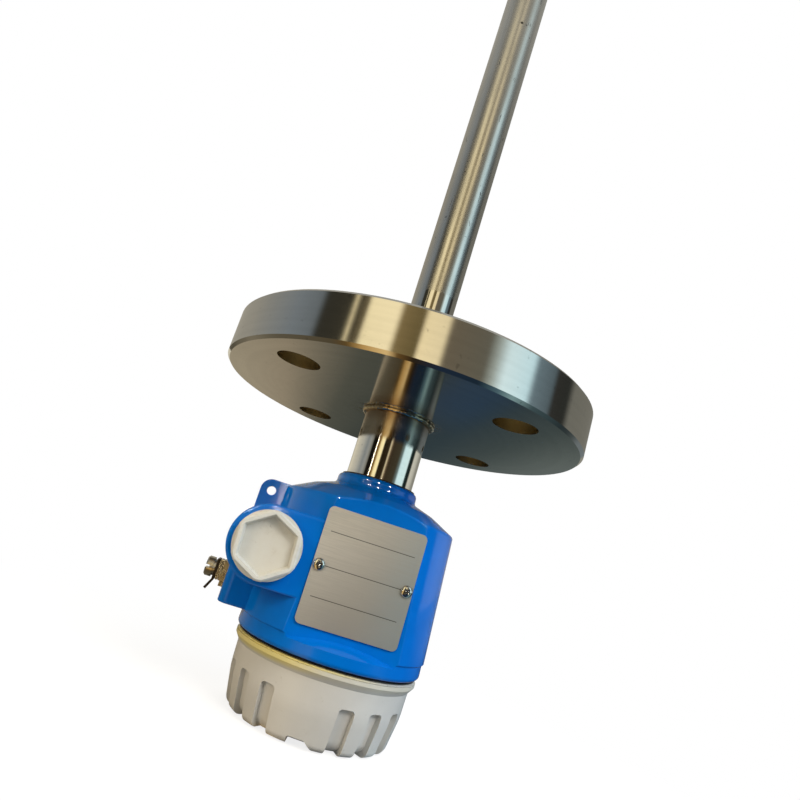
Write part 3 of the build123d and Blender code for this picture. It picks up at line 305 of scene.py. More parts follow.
def satin_tube(name, colour, polished):
    """Drawn stainless tube: long streaks, small scratches and dark specks, polished up to a level near the flange."""
    finish, tree, shader = new_finish(name)
    z = split(tree, place(tree))[2]
    streak = noise(tree, stretched(tree, (1.0, 1.0, 0.03)), 900.0, 3.0)
    haze = noise(tree, stretched(tree, (1.0, 1.0, 0.35)), 60.0, 5.0, 0.6)
    nicks = ramp(tree, noise(tree, stretched(tree, (1.0, 1.0, 0.22), turn=(0.5, 0.2, 0)), 520.0, 2.0, 0.5, 0.6),
                 0.69, 0.74)
    pits = ramp(tree, put(tree, "ShaderNodeTexVoronoi", {"Vector": place(tree), "Scale": 170.0}).outputs["Distance"],
                0.10, 0.17, 1.0, 0.0)
    some = ramp(tree, noise(tree, place(tree), 60.0, 2.0), 0.52, 0.62)
    satin = ramp(tree, sums(tree, "ADD", z, sums(tree, "MULTIPLY", haze, 0.002)), polished, polished + 0.0016)
    base = blended(tree, ramp(tree, haze, 0.3, 0.75, 0.0, 0.35), colour, scaled(colour, 0.72))
    base = blended(tree, ramp(tree, streak, 0.35, 0.7, 0.0, 0.25), base, scaled(colour, 0.72))
    base = blended(tree, sums(tree, "MULTIPLY", nicks, 0.7), base, scaled(colour, 0.25))
    specks = sums(tree, "MULTIPLY", sums(tree, "MULTIPLY", pits, some), satin)
    base = blended(tree, sums(tree, "MULTIPLY", specks, 0.95), base, scaled(colour, 0.08))
    tree.links.new(base, shader.inputs["Base Color"])
    rough = ramp(tree, sums(tree, "ADD", haze, sums(tree, "MULTIPLY", streak, 0.5)), 0.45, 1.05, 0.21, 0.32)
    tree.links.new(ramp(tree, satin, 0.0, 1.0, 0.08, rough), shader.inputs["Roughness"])
    shader.inputs["Metallic"].default_value = 1.0
    dents = sums(tree, "MULTIPLY", sums(tree, "SUBTRACT", streak, sums(tree, "MULTIPLY", nicks, 1.5)), satin)
    relief(tree, shader, dents, 0.00003, 0.6)
    return finish


def plain_metal(name, colour, rough=0.3, grain=800.0, dirt=0.4, dirt_colour=None):
    """Small metal part: fine grain, tarnish in patches."""
    finish, tree, shader = new_finish(name)
    fine = noise(tree, place(tree), grain, 3.0)
    patch = noise(tree, place(tree), grain / 5, 4.0, 0.6)
    base = blended(tree, ramp(tree, patch, 0.42, 0.72, 0.0, dirt), colour, dirt_colour or scaled(colour, 0.35))
    base = blended(tree, ramp(tree, fine, 0.3, 0.7, 0.0, 0.2), base, scaled(colour, 0.7))
    tree.links.new(base, shader.inputs["Base Color"])
    tree.links.new(ramp(tree, patch, 0.3, 0.8, rough * 0.75, rough * 1.5), shader.inputs["Roughness"])
    shader.inputs["Metallic"].default_value = 1.0
    relief(tree, shader, fine, 0.00003, 0.4)
    return finish


def moulded(name, colour, rough=0.3, grain=900.0, depth=0.00003, shade=0.85, cloud=40.0, coat=0.0):
    """Moulded plastic: slight mottling, dust and a fine skin."""
    finish, tree, shader = new_finish(name)
    fine = noise(tree, place(tree), grain, 2.0)
    patch = noise(tree, place(tree), cloud, 4.0, 0.6)
    base = blended(tree, ramp(tree, patch, 0.3, 0.75, 0.0, 1.0), colour, scaled(colour, shade))
    tree.links.new(base, shader.inputs["Base Color"])
    tree.links.new(ramp(tree, patch, 0.3, 0.8, rough * 0.85, rough * 1.25), shader.inputs["Roughness"])
    shader.inputs["Coat Weight"].default_value = coat
    shader.inputs["Coat Roughness"].default_value = 0.08
    relief(tree, shader, fine, depth, 0.5)
    return finish


def rubber(name, colour):
    """Black rubber with a dusty bloom."""
    finish, tree, shader = new_finish(name)
    fine = noise(tree, place(tree), 1400.0, 3.0)
    dust = noise(tree, place(tree), 160.0, 4.0, 0.65)
    base = blended(tree, ramp(tree, dust, 0.5, 0.8, 0.0, 0.25), colour, paint(92, 88, 80))
    tree.links.new(base, shader.inputs["Base Color"])
    tree.links.new(ramp(tree, dust, 0.3, 0.8, 0.42, 0.62), shader.inputs["Roughness"])
    relief(tree, shader, fine, 0.00003, 0.5)
    return finish


def weld_finish(name, colour, level, side):
    """Weld bead with straw, brown and blue heat colours beside it."""
    finish, tree, shader = new_finish(name)
    z = split(tree, place(tree))[2]
    wave = noise(tree, place(tree), 300.0, 3.0)
    off = sums(tree, "ADD", sums(tree, "MULTIPLY", sums(tree, "SUBTRACT", z, level), side),
               sums(tree, "MULTIPLY", wave, 0.001))
    hue = put(tree, "ShaderNodeValToRGB", {"Fac": ramp(tree, off, 0.0, 0.0042)})
    stops = hue.color_ramp.elements
    stops[0].color = (*paint(196, 186, 168), 1)
    stops[1].color = (*colour, 1)
    heat = ((0.35, (206, 190, 156)), (0.6, (168, 134, 82)), (0.74, (124, 96, 92)), (0.86, (108, 122, 148)))
    for at, shade in heat:
        stop = stops.new(at)
        stop.color = (*paint(*shade), 1)
    base = blended(tree, ramp(tree, wave, 0.5, 0.68, 0.0, 0.7), hue.outputs[0], scaled(colour, 0.3))
    tree.links.new(base, shader.inputs["Base Color"])
    tree.links.new(ramp(tree, wave, 0.3, 0.8, 0.1, 0.32), shader.inputs["Roughness"])
    shader.inputs["Metallic"].default_value = 1.0
    relief(tree, shader, wave, 0.0001, 0.6)
    return finish


def deselect():
    """Nothing selected, object mode."""
    if bpy.context.mode != "OBJECT":
        bpy.ops.object.mode_set(mode="OBJECT")
    bpy.ops.object.select_all(action="DESELECT")


def settle(piece, name, finish, body, *stands_for):
    """Names a piece, bakes its place into its mesh, dresses it and lets it ride on its body."""
    deselect()
    piece.select_set(True)
    bpy.context.view_layer.objects.active = piece
    bpy.ops.object.transform_apply(location=True, rotation=True, scale=True)
    piece.name = name
    piece.data.materials.clear()
    piece.data.materials.append(finish)
    if stands_for:
        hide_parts(*stands_for)
    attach(piece, body)
    return piece


def ridge(radius, low, high, pitch, height):
    """A helical thread ridge round the Z axis, closed at both ends."""
    deselect()
    bpy.ops.mesh.primitive_circle_add(vertices=3, radius=height, fill_type="NGON", location=(radius, 0, low))
    piece = bpy.context.active_object
    shape = piece.data
    corners = [(0, -pitch * RIDGE_FOOT), (height, 0), (0, pitch * RIDGE_FOOT)]
    for vertex, (out, up) in zip(shape.vertices, corners):
        vertex.co = (out, 0, up)
    bpy.ops.object.transform_apply(location=True)
    screw = piece.modifiers.new("helix", "SCREW")
    turns = (high - low) / pitch
    screw.angle = math.tau * turns
    screw.screw_offset = high - low
    screw.steps = screw.render_steps = int(RIDGE_STEPS * turns)
    screw.use_merge_vertices = False
    screw.use_normal_calculate = True
    bpy.ops.object.modifier_apply(modifier="helix")
    bpy.ops.object.mode_set(mode="EDIT")
    bpy.ops.mesh.select_all(action="DESELECT")
    bpy.ops.mesh.select_non_manifold()
    bpy.ops.mesh.edge_face_add()
    bpy.ops.mesh.select_all(action="SELECT")
    bpy.ops.mesh.remove_doubles(threshold=0.000001)
    bpy.ops.mesh.normals_make_consistent(inside=False)
    bpy.ops.object.mode_set(mode="OBJECT")
    return piece


def cross_screw(radius, dome, length, turn):
    """A screw on the Z axis: its domed head's top at 0, a cross recess in it, and its shank below."""
    deselect()
    bpy.ops.mesh.primitive_uv_sphere_add(segments=48, ring_count=24, radius=radius)
    head = bpy.context.active_object
    bpy.ops.object.mode_set(mode="EDIT")
    bpy.ops.mesh.select_all(action="SELECT")
    bpy.ops.mesh.bisect(plane_co=(0, 0, 0), plane_no=(0, 0, 1), clear_inner=True, use_fill=True)
    bpy.ops.mesh.select_all(action="SELECT")
    bpy.ops.transform.resize(value=(1.0, 1.0, dome / radius), center_override=(0, 0, 0))
    bpy.ops.transform.translate(value=(0, 0, -dome))
    bpy.ops.object.mode_set(mode="OBJECT")
    for side in (0, math.pi / 2):
        deselect()
        bpy.ops.mesh.primitive_cube_add(size=1, location=(0, 0, 0))
        slot = bpy.context.active_object
        slot.scale = (radius * 1.15, radius * 0.26, dome * 1.3)
        slot.rotation_euler = (0, 0, turn + side)
        cut = head.modifiers.new("recess", "BOOLEAN")
        cut.object = slot
        cut.operation = "DIFFERENCE"
        cut.solver = "EXACT"
        deselect()
        head.select_set(True)
        bpy.context.view_layer.objects.active = head
        bpy.ops.object.modifier_apply(modifier="recess")
        bpy.data.objects.remove(slot)
    soft = head.modifiers.new("soft edges", "BEVEL")
    soft.width = radius * 0.03
    soft.segments = 2
    soft.limit_method = "ANGLE"
    soft.angle_limit = math.radians(40)
    bpy.ops.object.modifier_apply(modifier="soft edges")
    deselect()
    bpy.ops.mesh.primitive_cylinder_add(
        vertices=32, radius=radius * 0.45, depth=length - dome, location=(0, 0, -(length + dome) / 2))
    bpy.ops.object.transform_apply(location=True)
    head.select_set(True)
    bpy.context.view_layer.objects.active = head
    bpy.ops.object.join()
    return head


# ---- Operators ----

class LEVELSWITCH_OT_probe_finish(bpy.types.Operator):
    """Stainless finishes of flange, tube, neck, fork and their inner parts"""

    bl_idname = "level_switch.probe_finish"
    bl_label = "Probe Finish"

    def execute(self, context):
        colours = context.scene.level_switch_colours
        steel = tuple(colours.steel)
        finish_nodes(turned_steel("turned stainless flange", steel, 0.00028, (0.05, 0.11), 0.18,
                                  bores=BOLT_HOLES), "flange")
        finish_nodes(satin_tube("drawn stainless tube", steel, POLISHED_TO), "extension_tube")
        finish_nodes(turned_steel("polished stainless neck", scaled(steel, 1.05), 0.0002, (0.05, 0.1), 0.12,
                                  (NECK_HEAT, 0.007, paint(150, 112, 62))), "neck_tube")
        finish_nodes(turned_steel("ground stainless fork", scaled(steel, 1.02), 0.00022, (0.2, 0.34), 0.2),
                     "vibrating_fork")
        finish_nodes(weld_finish("neck weld", steel, FLANGE_BACK, -1), "neck_weld")
        finish_nodes(weld_finish("tube weld", steel, 0.0, 1), "tube_weld")
        finish_nodes(weld_finish("fork weld", steel, FORK_WELD, 1), "fork_weld")
        finish_nodes(plain_metal("turned pressure parts", scaled(steel, 0.9), 0.25), "pressure_seat", "preload_screw")
        finish_nodes(moulded("ceramic", paint(226, 220, 206), 0.35, 2000.0), "ceramic_end_discs")
        finish_nodes(moulded("piezo ceramic", paint(150, 138, 112), 0.5, 2400.0), "piezo_discs")
        finish_nodes(plain_metal("electrode sheet", tuple(colours.brass), 0.28), "electrode_discs")
        finish_nodes(moulded("lead insulation", paint(150, 40, 34), 0.4, 1600.0), "signal_leads")
        finish_nodes(moulded("black potting", paint(24, 24, 26), 0.3, 500.0, 0.00006), "feedthrough")
        finish_nodes(plain_metal("spring steel", scaled(steel, 0.5), 0.32), "swivel_clip")
        finish_nodes(rubber("neck seal rubber", tuple(colours.rubber)), "neck_seal")
        return {"FINISHED"}


class LEVELSWITCH_OT_housing_finish(bpy.types.Operator):
    """Glossy moulding of the housing"""

    bl_idname = "level_switch.housing_finish"
    bl_label = "Housing Finish"

    def execute(self, context):
        colour = tuple(context.scene.level_switch_colours.housing_blue)
        finish, tree, shader = new_finish("glossy blue moulding")
        patch = noise(tree, place(tree), 30.0, 4.0, 0.6)
        fine = noise(tree, place(tree), 1100.0, 2.0)
        wave = noise(tree, place(tree), 120.0, 2.0)
        dust = ramp(tree, noise(tree, place(tree), 700.0, 4.0, 0.7), 0.66, 0.74)
        drawn = stretched(tree, (1.0, 1.0, 0.15), turn=(0.3, 0.9, 0.2))
        scuff = ramp(tree, noise(tree, drawn, 420.0, 2.0), 0.72, 0.76)
        base = blended(tree, ramp(tree, patch, 0.3, 0.75), colour, scaled(colour, 0.86))
        base = blended(tree, sums(tree, "MULTIPLY", dust, 0.05), base, paint(120, 170, 214))
        base = blended(tree, sums(tree, "MULTIPLY", scuff, 0.12), base, paint(70, 146, 214))
        tree.links.new(base, shader.inputs["Base Color"])
        tree.links.new(ramp(tree, sums(tree, "ADD", patch, sums(tree, "MULTIPLY", dust, 0.6)), 0.35, 1.1, 0.06, 0.14),
                       shader.inputs["Roughness"])
        shader.inputs["Specular IOR Level"].default_value = 0.3
        shader.inputs["Coat Weight"].default_value = 0.1
        shader.inputs["Coat Roughness"].default_value = 0.03
        relief(tree, shader, sums(tree, "ADD", sums(tree, "MULTIPLY", wave, 2.0), sums(tree, "MULTIPLY", fine, 0.35)),
               0.00005, 0.3)
        finish_nodes(finish, "housing")
        return {"FINISHED"}


class LEVELSWITCH_OT_cover_finish(bpy.types.Operator):
    """Light grey cover, yellowed at its rim, and the rubber of its seal"""

    bl_idname = "level_switch.cover_finish"
    bl_label = "Cover Finish"

    def execute(self, context):
        colours = context.scene.level_switch_colours
        grey = tuple(colours.cover_grey)
        finish, tree, shader = new_finish("light grey cover plastic")
        x, y, z = split(tree, place(tree))
        patch = noise(tree, place(tree), 34.0, 4.0, 0.6)
        fine = noise(tree, place(tree), 1300.0, 2.0)
        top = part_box("cover")[1][2]
        rim = ramp(tree, sums(tree, "ADD", z, sums(tree, "MULTIPLY", noise(tree, place(tree), 90.0, 3.0), 0.0012)),
                   top - 0.0034, top - 0.0012)
        side = ramp(tree, towards_aged_side(tree, x, y), 0.016, 0.040)
        aged = sums(tree, "MULTIPLY", rim, ramp(tree, side, 0.0, 1.0, 0.15, 0.95))
        base = blended(tree, ramp(tree, patch, 0.3, 0.75), grey, scaled(grey, 0.9))
        base = blended(tree, aged, base, tuple(colours.cover_yellow))
        grime = ramp(tree, noise(tree, place(tree), 320.0, 4.0, 0.7), 0.62, 0.74)
        base = blended(tree, sums(tree, "MULTIPLY", grime, 0.22), base, paint(150, 140, 118))
        tree.links.new(base, shader.inputs["Base Color"])
        tree.links.new(ramp(tree, patch, 0.3, 0.8, 0.29, 0.33), shader.inputs["Roughness"])
        relief(tree, shader, fine, 0.00003, 0.35)
        finish_nodes(finish, "cover")
        finish_nodes(rubber("seam rubber", tuple(colours.rubber)), "cover_seal")
        return {"FINISHED"}


class LEVELSWITCH_OT_nameplate_finish(bpy.types.Operator):
    """Brushed nameplate with bare ruled fields, and its screws"""

    bl_idname = "level_switch.nameplate_finish"
    bl_label = "Nameplate Finish"

    def execute(self, context):
        colour = tuple(context.scene.level_switch_colours.nameplate_steel)
        finish, tree, shader = new_finish("brushed nameplate steel")
        x, y, z = split(tree, place(tree))
        low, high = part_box("nameplate")
        brush = noise(tree, stretched(tree, (0.02, 1.0, 1.0)), 5200.0, 2.0)
        haze = noise(tree, place(tree), 45.0, 4.0, 0.6)
        # Painted light and shade: the plate is drawn brighter towards its top left and darker elsewhere, with a
        # painted cool reflection towards its right.
        top_left_painted_light = ramp(tree, sums(tree, "SUBTRACT", sums(tree, "MULTIPLY", z, 0.8), x), -0.095, -0.035)
        painted_shade_and_cool_reflection = blended(tree, ramp(tree, x, -0.002, 0.02), scaled(colour, 0.7), paint(176, 184, 184))
        base = blended(tree, top_left_painted_light, painted_shade_and_cool_reflection, scaled(colour, 1.22))
        base = blended(tree, ramp(tree, brush, 0.3, 0.7, 0.0, 0.3), base, scaled(colour, 0.7))
        base = blended(tree, ramp(tree, haze, 0.4, 0.75, 0.0, 0.2), base, scaled(colour, 0.78))
        rules = None
        inside = sums(tree, "LESS_THAN", sums(tree, "ABSOLUTE", x), RULE_HALF)
        for share in RULE_LEVELS:
            level = low[2] + (high[2] - low[2]) * share
            line = ramp(tree, from_level(tree, z, level), 0.00008, 0.00020, 1.0, 0.0)
            rules = line if rules is None else sums(tree, "MAXIMUM", rules, line)
        rules = sums(tree, "MULTIPLY", rules, inside)
        base = blended(tree, sums(tree, "MULTIPLY", rules, 0.85), base, paint(48, 45, 40))
        tree.links.new(base, shader.inputs["Base Color"])
        tree.links.new(ramp(tree, sums(tree, "ADD", brush, haze), 0.6, 1.4, 0.3, 0.5), shader.inputs["Roughness"])
        shader.inputs["Metallic"].default_value = 0.55
        shader.inputs["Anisotropic"].default_value = 0.5
        relief(tree, shader, sums(tree, "SUBTRACT", brush, rules), 0.00003, 0.5)
        finish_nodes(finish, "nameplate")
        finish_nodes(plain_metal("bright screw heads", paint(214, 212, 208), 0.16, 900.0, 0.2), "nameplate_screws")
        return {"FINISHED"}


class LEVELSWITCH_OT_entry_finish(bpy.types.Operator):
    """White plug of the cable entry, its specks, painted warm shade deep in its recess, and its seal"""

    bl_idname = "level_switch.entry_finish"
    bl_label = "Cable Entry Finish"

    def execute(self, context):
        colours = context.scene.level_switch_colours
        white = tuple(colours.plug_white)
        finish, tree, shader = new_finish("white plug plastic")
        y = split(tree, place(tree))[1]
        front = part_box("entry_plug")[0][1]
        patch = noise(tree, place(tree), 120.0, 5.0, 0.65)
        specks = ramp(tree, noise(tree, place(tree), 620.0, 3.0, 0.6), 0.66, 0.74)
        # Painted shade: a patchy warm darkening deep in the hexagon recess, behind its crest, where shade falls.
        deep = ramp(tree, y, front + 0.0012, front + 0.0036)
        base = blended(tree, ramp(tree, patch, 0.52, 0.75, 0.0, 0.5), white, paint(178, 172, 160))
        stain = sums(tree, "MULTIPLY", sums(tree, "MULTIPLY", deep, patch), 0.4)
        base = blended(tree, stain, base, paint(186, 172, 146))
        base = blended(tree, sums(tree, "MULTIPLY", specks, 0.3), base, paint(120, 112, 100))
        tree.links.new(base, shader.inputs["Base Color"])
        tree.links.new(ramp(tree, patch, 0.3, 0.8, 0.34, 0.5), shader.inputs["Roughness"])
        relief(tree, shader, noise(tree, place(tree), 1500.0, 2.0), 0.00003, 0.5)
        finish_nodes(finish, "entry_plug")
        finish_nodes(rubber("entry seal rubber", tuple(colours.rubber)), "entry_seal")
        return {"FINISHED"}


class LEVELSWITCH_OT_ground_finish(bpy.types.Operator):
    """Tarnished plates, brass bushings and bright screws of the ground terminals"""

    bl_idname = "level_switch.ground_finish"
    bl_label = "Ground Terminal Finish"

    def execute(self, context):
        colours = context.scene.level_switch_colours
        brass, steel = tuple(colours.brass), tuple(colours.steel)
        finish_nodes(plain_metal("terminal brass", brass, 0.3), "ground_bushing", "inner_ground_bushing")
        finish_nodes(plain_metal("tarnished terminal plate", paint(214, 198, 160), 0.24, 900.0, 0.5,
                                 paint(120, 96, 62)), "ground_clamp_plates", "inner_ground_clamp")
        finish_nodes(plain_metal("dark terminal plate", paint(196, 176, 132), 0.3, 800.0, 0.5,
                                 paint(100, 80, 52)), "ground_base_plate")
        finish_nodes(plain_metal("dark tail plate", paint(72, 64, 54), 0.36, 800.0, 0.6), "ground_tail_plate")
        finish_nodes(plain_metal("lock washer steel", scaled(steel, 0.7), 0.3), "ground_lock_washer")
        finish_nodes(plain_metal("terminal screw steel", paint(212, 206, 192), 0.2, 900.0, 0.4, paint(120, 100, 74)),
                     "ground_screw", "inner_ground_screw")
        return {"FINISHED"}


class LEVELSWITCH_OT_electronics_finish(bpy.types.Operator):
    """Insert, terminal block, switches and lights inside the housing"""

    bl_idname = "level_switch.electronics_finish"
    bl_label = "Electronics Finish"

    def execute(self, context):
        colours = context.scene.level_switch_colours
        steel = tuple(colours.steel)
        finish_nodes(moulded("insert case plastic", paint(96, 104, 112), 0.42, 1200.0), "electronic_insert")
        finish_nodes(moulded("terminal green plastic", paint(34, 116, 66), 0.38, 1200.0), "terminal_block")
        finish_nodes(plain_metal("tinned clamps", paint(196, 192, 180), 0.3), "terminal_clamps")
        finish_nodes(plain_metal("terminal screws", scaled(steel, 1.05), 0.2), "terminal_screws", "insert_screws")
        finish_nodes(moulded("slider plastic", paint(222, 222, 216), 0.35, 1500.0), "safety_slider", "density_slider")
        finish_nodes(moulded("green lens", paint(40, 170, 70), 0.12, 800.0, 0.00001, 0.9, 200.0, 0.5), "power_light")
        finish_nodes(moulded("red lens", paint(200, 36, 28), 0.12, 800.0, 0.00001, 0.9, 200.0, 0.5), "switch_light")
        finish_nodes(moulded("connector plastic", paint(30, 30, 32), 0.4, 1500.0), "lead_connector")
        finish_nodes(moulded("lead sheath", paint(40, 40, 44), 0.45, 1500.0), "insert_lead")
        return {"FINISHED"}


class LEVELSWITCH_OT_neck_weld(bpy.types.Operator):
    """Low, uneven weld run between neck and flange"""

    bl_idname = "level_switch.neck_weld"
    bl_label = "Neck Weld"

    def execute(self, context):
        sizes = context.scene.level_switch_sizes
        colours = context.scene.level_switch_colours
        low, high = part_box("neck_weld")
        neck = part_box("neck_tube")[1][0]
        leg = high[2] - low[2]
        middle = (0, 0, high[2] - leg * RUN_MIDDLE)
        deselect()
        bpy.ops.mesh.primitive_torus_add(
            major_segments=420, minor_segments=20, major_radius=neck + leg * RUN_MIDDLE,
            minor_radius=leg * RUN_THICK, location=middle)
        run = bpy.context.active_object
        bpy.ops.object.mode_set(mode="EDIT")
        bpy.ops.mesh.select_all(action="SELECT")
        bpy.ops.transform.resize(value=(1.0, 1.0, RUN_SQUASH), center_override=middle)
        bpy.ops.object.mode_set(mode="OBJECT")
        bpy.ops.object.transform_apply(location=True)
        waves = (("weld swell", 0.006, sizes.weld_swell), ("weld ripple", 0.0013, sizes.weld_swell * 0.6))
        for grain, spread, depth in waves:
            pattern = bpy.data.textures.new(grain, "CLOUDS")
            pattern.noise_scale = spread
            swell = run.modifiers.new(grain, "DISPLACE")
            swell.texture = pattern
            swell.texture_coords = "LOCAL"
            swell.strength = depth
            bpy.ops.object.modifier_apply(modifier=grain)
        finish = weld_finish("uneven weld", tuple(colours.steel), high[2], -1)
        settle(run, "neck_weld_run", finish, "probe", "neck_weld")
        bpy.ops.object.shade_smooth()
        return {"FINISHED"}


class LEVELSWITCH_OT_seal_lips(bpy.types.Operator):
    """Rounded lips of the seals at the cover and round the neck, and the cover's rim"""

    bl_idname = "level_switch.seal_lips"
    bl_label = "Seal Lips"

    def execute(self, context):
        colours = context.scene.level_switch_colours
        black = rubber("lip rubber", tuple(colours.rubber))
        aged, tree, shader = new_finish("yellowed cover rim")
        x, y = split(tree, place(tree))[:2]
        side = ramp(tree, towards_aged_side(tree, x, y), -0.006, 0.034)
        grey = blended(tree, side, scaled(tuple(colours.cover_grey), 0.8), tuple(colours.cover_yellow))
        grime = ramp(tree, noise(tree, place(tree), 420.0, 4.0, 0.6), 0.5, 0.7, 0.0, 0.5)
        tree.links.new(blended(tree, grime, grey, paint(112, 100, 62)), shader.inputs["Base Color"])
        tree.links.new(ramp(tree, grime, 0.0, 0.5, 0.3, 0.5), shader.inputs["Roughness"])
        relief(tree, shader, noise(tree, place(tree), 900.0, 2.0), 0.00003, 0.4)
        seams = (
            ("cover_seal", "cover_seal_lip", 0.47, 1.0, 0.0030, 0.0001, black, "cover_seal"),
            ("cover_seal", "cover_rim_bead", -0.25, 0.46, 0.0034, 0.0, aged, "cover"),
            ("neck_seal", "neck_seal_lip", 0.0, 1.0, 0.0013, 0.0, black, "housing"),
        )
        for node, name, start, end, wall, back, finish, body in seams:
            low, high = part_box(node)
            outer = high[0] - back
            height = (high[2] - low[2]) * (end - start)
            middle = (0, 0, low[2] + (high[2] - low[2]) * (start + end) / 2)
            deselect()
            bpy.ops.mesh.primitive_torus_add(
                major_segments=160, minor_segments=16, major_radius=outer - wall / 2, minor_radius=wall / 2,
                location=middle)
            lip = bpy.context.active_object
            bpy.ops.object.mode_set(mode="EDIT")
            bpy.ops.mesh.select_all(action="SELECT")
            bpy.ops.transform.resize(value=(1.0, 1.0, height / wall), center_override=middle)
            bpy.ops.object.mode_set(mode="OBJECT")
            if body == node:
                settle(lip, name, finish, body, node)
            else:
                settle(lip, name, finish, body)
            bpy.ops.object.shade_smooth()
        return {"FINISHED"}


class LEVELSWITCH_OT_cross_screws(bpy.types.Operator):
    """Domed heads with cross recesses on the nameplate"""

    bl_idname = "level_switch.cross_screws"
    bl_label = "Cross Recess Screws"

    def execute(self, context):
        sizes = context.scene.level_switch_sizes
        bright = plain_metal("bright cross screws", paint(222, 221, 216), 0.12, 900.0, 0.2)
        low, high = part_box("nameplate_screws")
        inset = (high[2] - low[2]) / 2
        radius = inset * HEAD_SHARE
        level = (high[2] + low[2]) / 2
        face = Matrix.Rotation(math.pi / 2, 4, "X")
        for x, name, turn in ((low[0] + inset, "left", 0.35), (high[0] - inset, "right", 0.9)):
            screw = cross_screw(radius, sizes.screw_dome, high[1] - low[1], turn)
            screw.matrix_world = Matrix.Translation((x, low[1], level)) @ face
            settle(screw, "nameplate_screw_" + name, bright, "housing", "nameplate_screws")
            bpy.ops.object.shade_smooth_by_angle(angle=math.radians(32))
        return {"FINISHED"}


class LEVELSWITCH_OT_cover_thread(bpy.types.Operator):
    """Thread ridge on the spigot under the cover"""

    bl_idname = "level_switch.cover_thread"
    bl_label = "Spigot Thread"

    def execute(self, context):
        sizes = context.scene.level_switch_sizes
        seal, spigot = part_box("cover_seal"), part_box("housing")
        piece = ridge(SPIGOT_RADIUS, spigot[0][2] + 0.0012, seal[0][2] - 0.0015,
                      sizes.cover_pitch / 2, sizes.thread_height)
        finish = NODES["housing"].material_slots[0].material
        settle(piece, "spigot_thread", finish, "housing")
        return {"FINISHED"}


# What polished metal sees round the horizon: degrees from +X towards +Y, and the tone seen there.
# The first row is what lies low, as the neck sees it, and the second what lies higher, as the flange's rim does.
LOW_TONES = (
    (-180, (122, 128, 130)), (-168, (140, 142, 140)), (-160, (112, 112, 104)), (-157, (14, 12, 8)),
    (-143, (16, 13, 8)), (-140, (96, 74, 40)), (-132, (140, 112, 66)), (-129, (240, 224, 170)),
    (-119, (246, 232, 184)), (-117, (34, 26, 14)), (-98, (42, 34, 22)), (-95, (206, 192, 158)),
    (-90, (96, 80, 62)), (-86, (52, 44, 32)), (-58, (58, 54, 42)), (-48, (96, 112, 112)),
    (-42, (196, 226, 234)), (-16, (202, 230, 236)), (-12, (30, 44, 44)), (2, (22, 28, 28)),
    (8, (190, 190, 180)), (26, (170, 170, 162)), (40, (128, 128, 120)), (80, (120, 118, 108)),
    (120, (196, 190, 172)), (160, (166, 166, 158)), (180, (122, 128, 130)),
)
STUDIO_TONES = (
    (-180, (110, 118, 125)), (-165, (98, 106, 112)), (-161, (46, 45, 39)), (-144, (50, 48, 40)),
    (-142, (214, 200, 160)), (-140, (56, 52, 42)), (-135, (88, 78, 56)), (-133, (236, 222, 180)),
    (-116, (238, 224, 184)), (-113, (120, 104, 70)), (-101, (96, 84, 54)), (-99, (230, 214, 172)),
    (-87, (222, 208, 170)), (-84, (98, 90, 76)), (-60, (92, 90, 80)), (-54, (150, 160, 156)),
    (-47, (206, 230, 238)), (-30, (190, 222, 234)), (-26, (98, 116, 126)), (-12, (80, 94, 102)),
    (-9, (44, 44, 42)), (4, (40, 42, 40)), (10, (104, 104, 98)), (70, (104, 102, 94)),
    (85, (140, 134, 120)), (140, (136, 134, 126)), (180, (110, 118, 125)),
)
# What the flange's underside sees of the floor behind the object: metres along X, and the tone
FLOOR_TONES = (
    (-0.60, (80, 76, 64)), (-0.36, (104, 98, 84)), (-0.22, (150, 141, 122)), (-0.16, (146, 137, 118)),
    (-0.09, (134, 124, 106)), (-0.04, (98, 94, 82)),
    (-0.01, (74, 75, 67)), (0.08, (50, 56, 54)), (0.16, (44, 56, 62)), (0.24, (60, 69, 69)),
    (0.32, (88, 96, 94)), (0.45, (104, 112, 116)),
)

# What the same underside, and through it the neck's upper end, sees of the floor in front: degrees, and the tone
FRONT_TONES = (
    (-180, (88, 82, 68)), (-150, (78, 70, 54)), (-140, (92, 72, 40)), (-130, (186, 150, 92)),
    (-116, (214, 184, 128)), (-110, (96, 72, 38)), (-100, (40, 32, 22)), (-84, (28, 40, 58)),
    (-60, (26, 40, 54)), (-48, (70, 96, 108)), (-38, (120, 150, 156)), (-24, (60, 78, 84)),
    (0, (40, 50, 54)), (60, (70, 76, 74)), (120, (88, 86, 76)), (180, (88, 82, 68)),
)


def toned(tree, value, tones):
    """A colour ramp through tones read from a screen, each at its own value."""
    first, last = tones[0][0], tones[-1][0]
    share = put(tree, "ShaderNodeMapRange", {"Value": value, "From Min": first, "From Max": last}).outputs[0]
    hue = put(tree, "ShaderNodeValToRGB", {"Fac": share})
    stops = hue.color_ramp.elements
    for index, (at, tone) in enumerate(tones):
        place_at = (at - first) / (last - first)
        if index == 0:
            stop = stops[0]
        elif index == len(tones) - 1:
            stop = stops[-1]
        else:
            stop = stops.new(place_at)
        stop.position = place_at
        stop.color = (*paint(*tone), 1)
    return hue.outputs[0]


def looked_at(tree, seen):
    """One for rays that show a surface to the camera, also through clear pieces."""
    return sums(tree, "MAXIMUM", seen.outputs["Is Camera Ray"], seen.outputs["Is Transmission Ray"])


def area_lamp(context, name, where, to, power, size):
    """A rectangular lamp that points at a spot and isn't seen itself."""
    lamp = bpy.data.lights.new(name, "AREA")
    lamp.shape = "RECTANGLE"
    lamp.size, lamp.size_y = size
    lamp.energy = power
    light = bpy.data.objects.new(name, lamp)
    light.location = where
    light.rotation_euler = (Vector(to) - Vector(where)).to_track_quat("-Z", "Y").to_euler()
    light.visible_camera = False
    context.collection.objects.link(light)
    return light


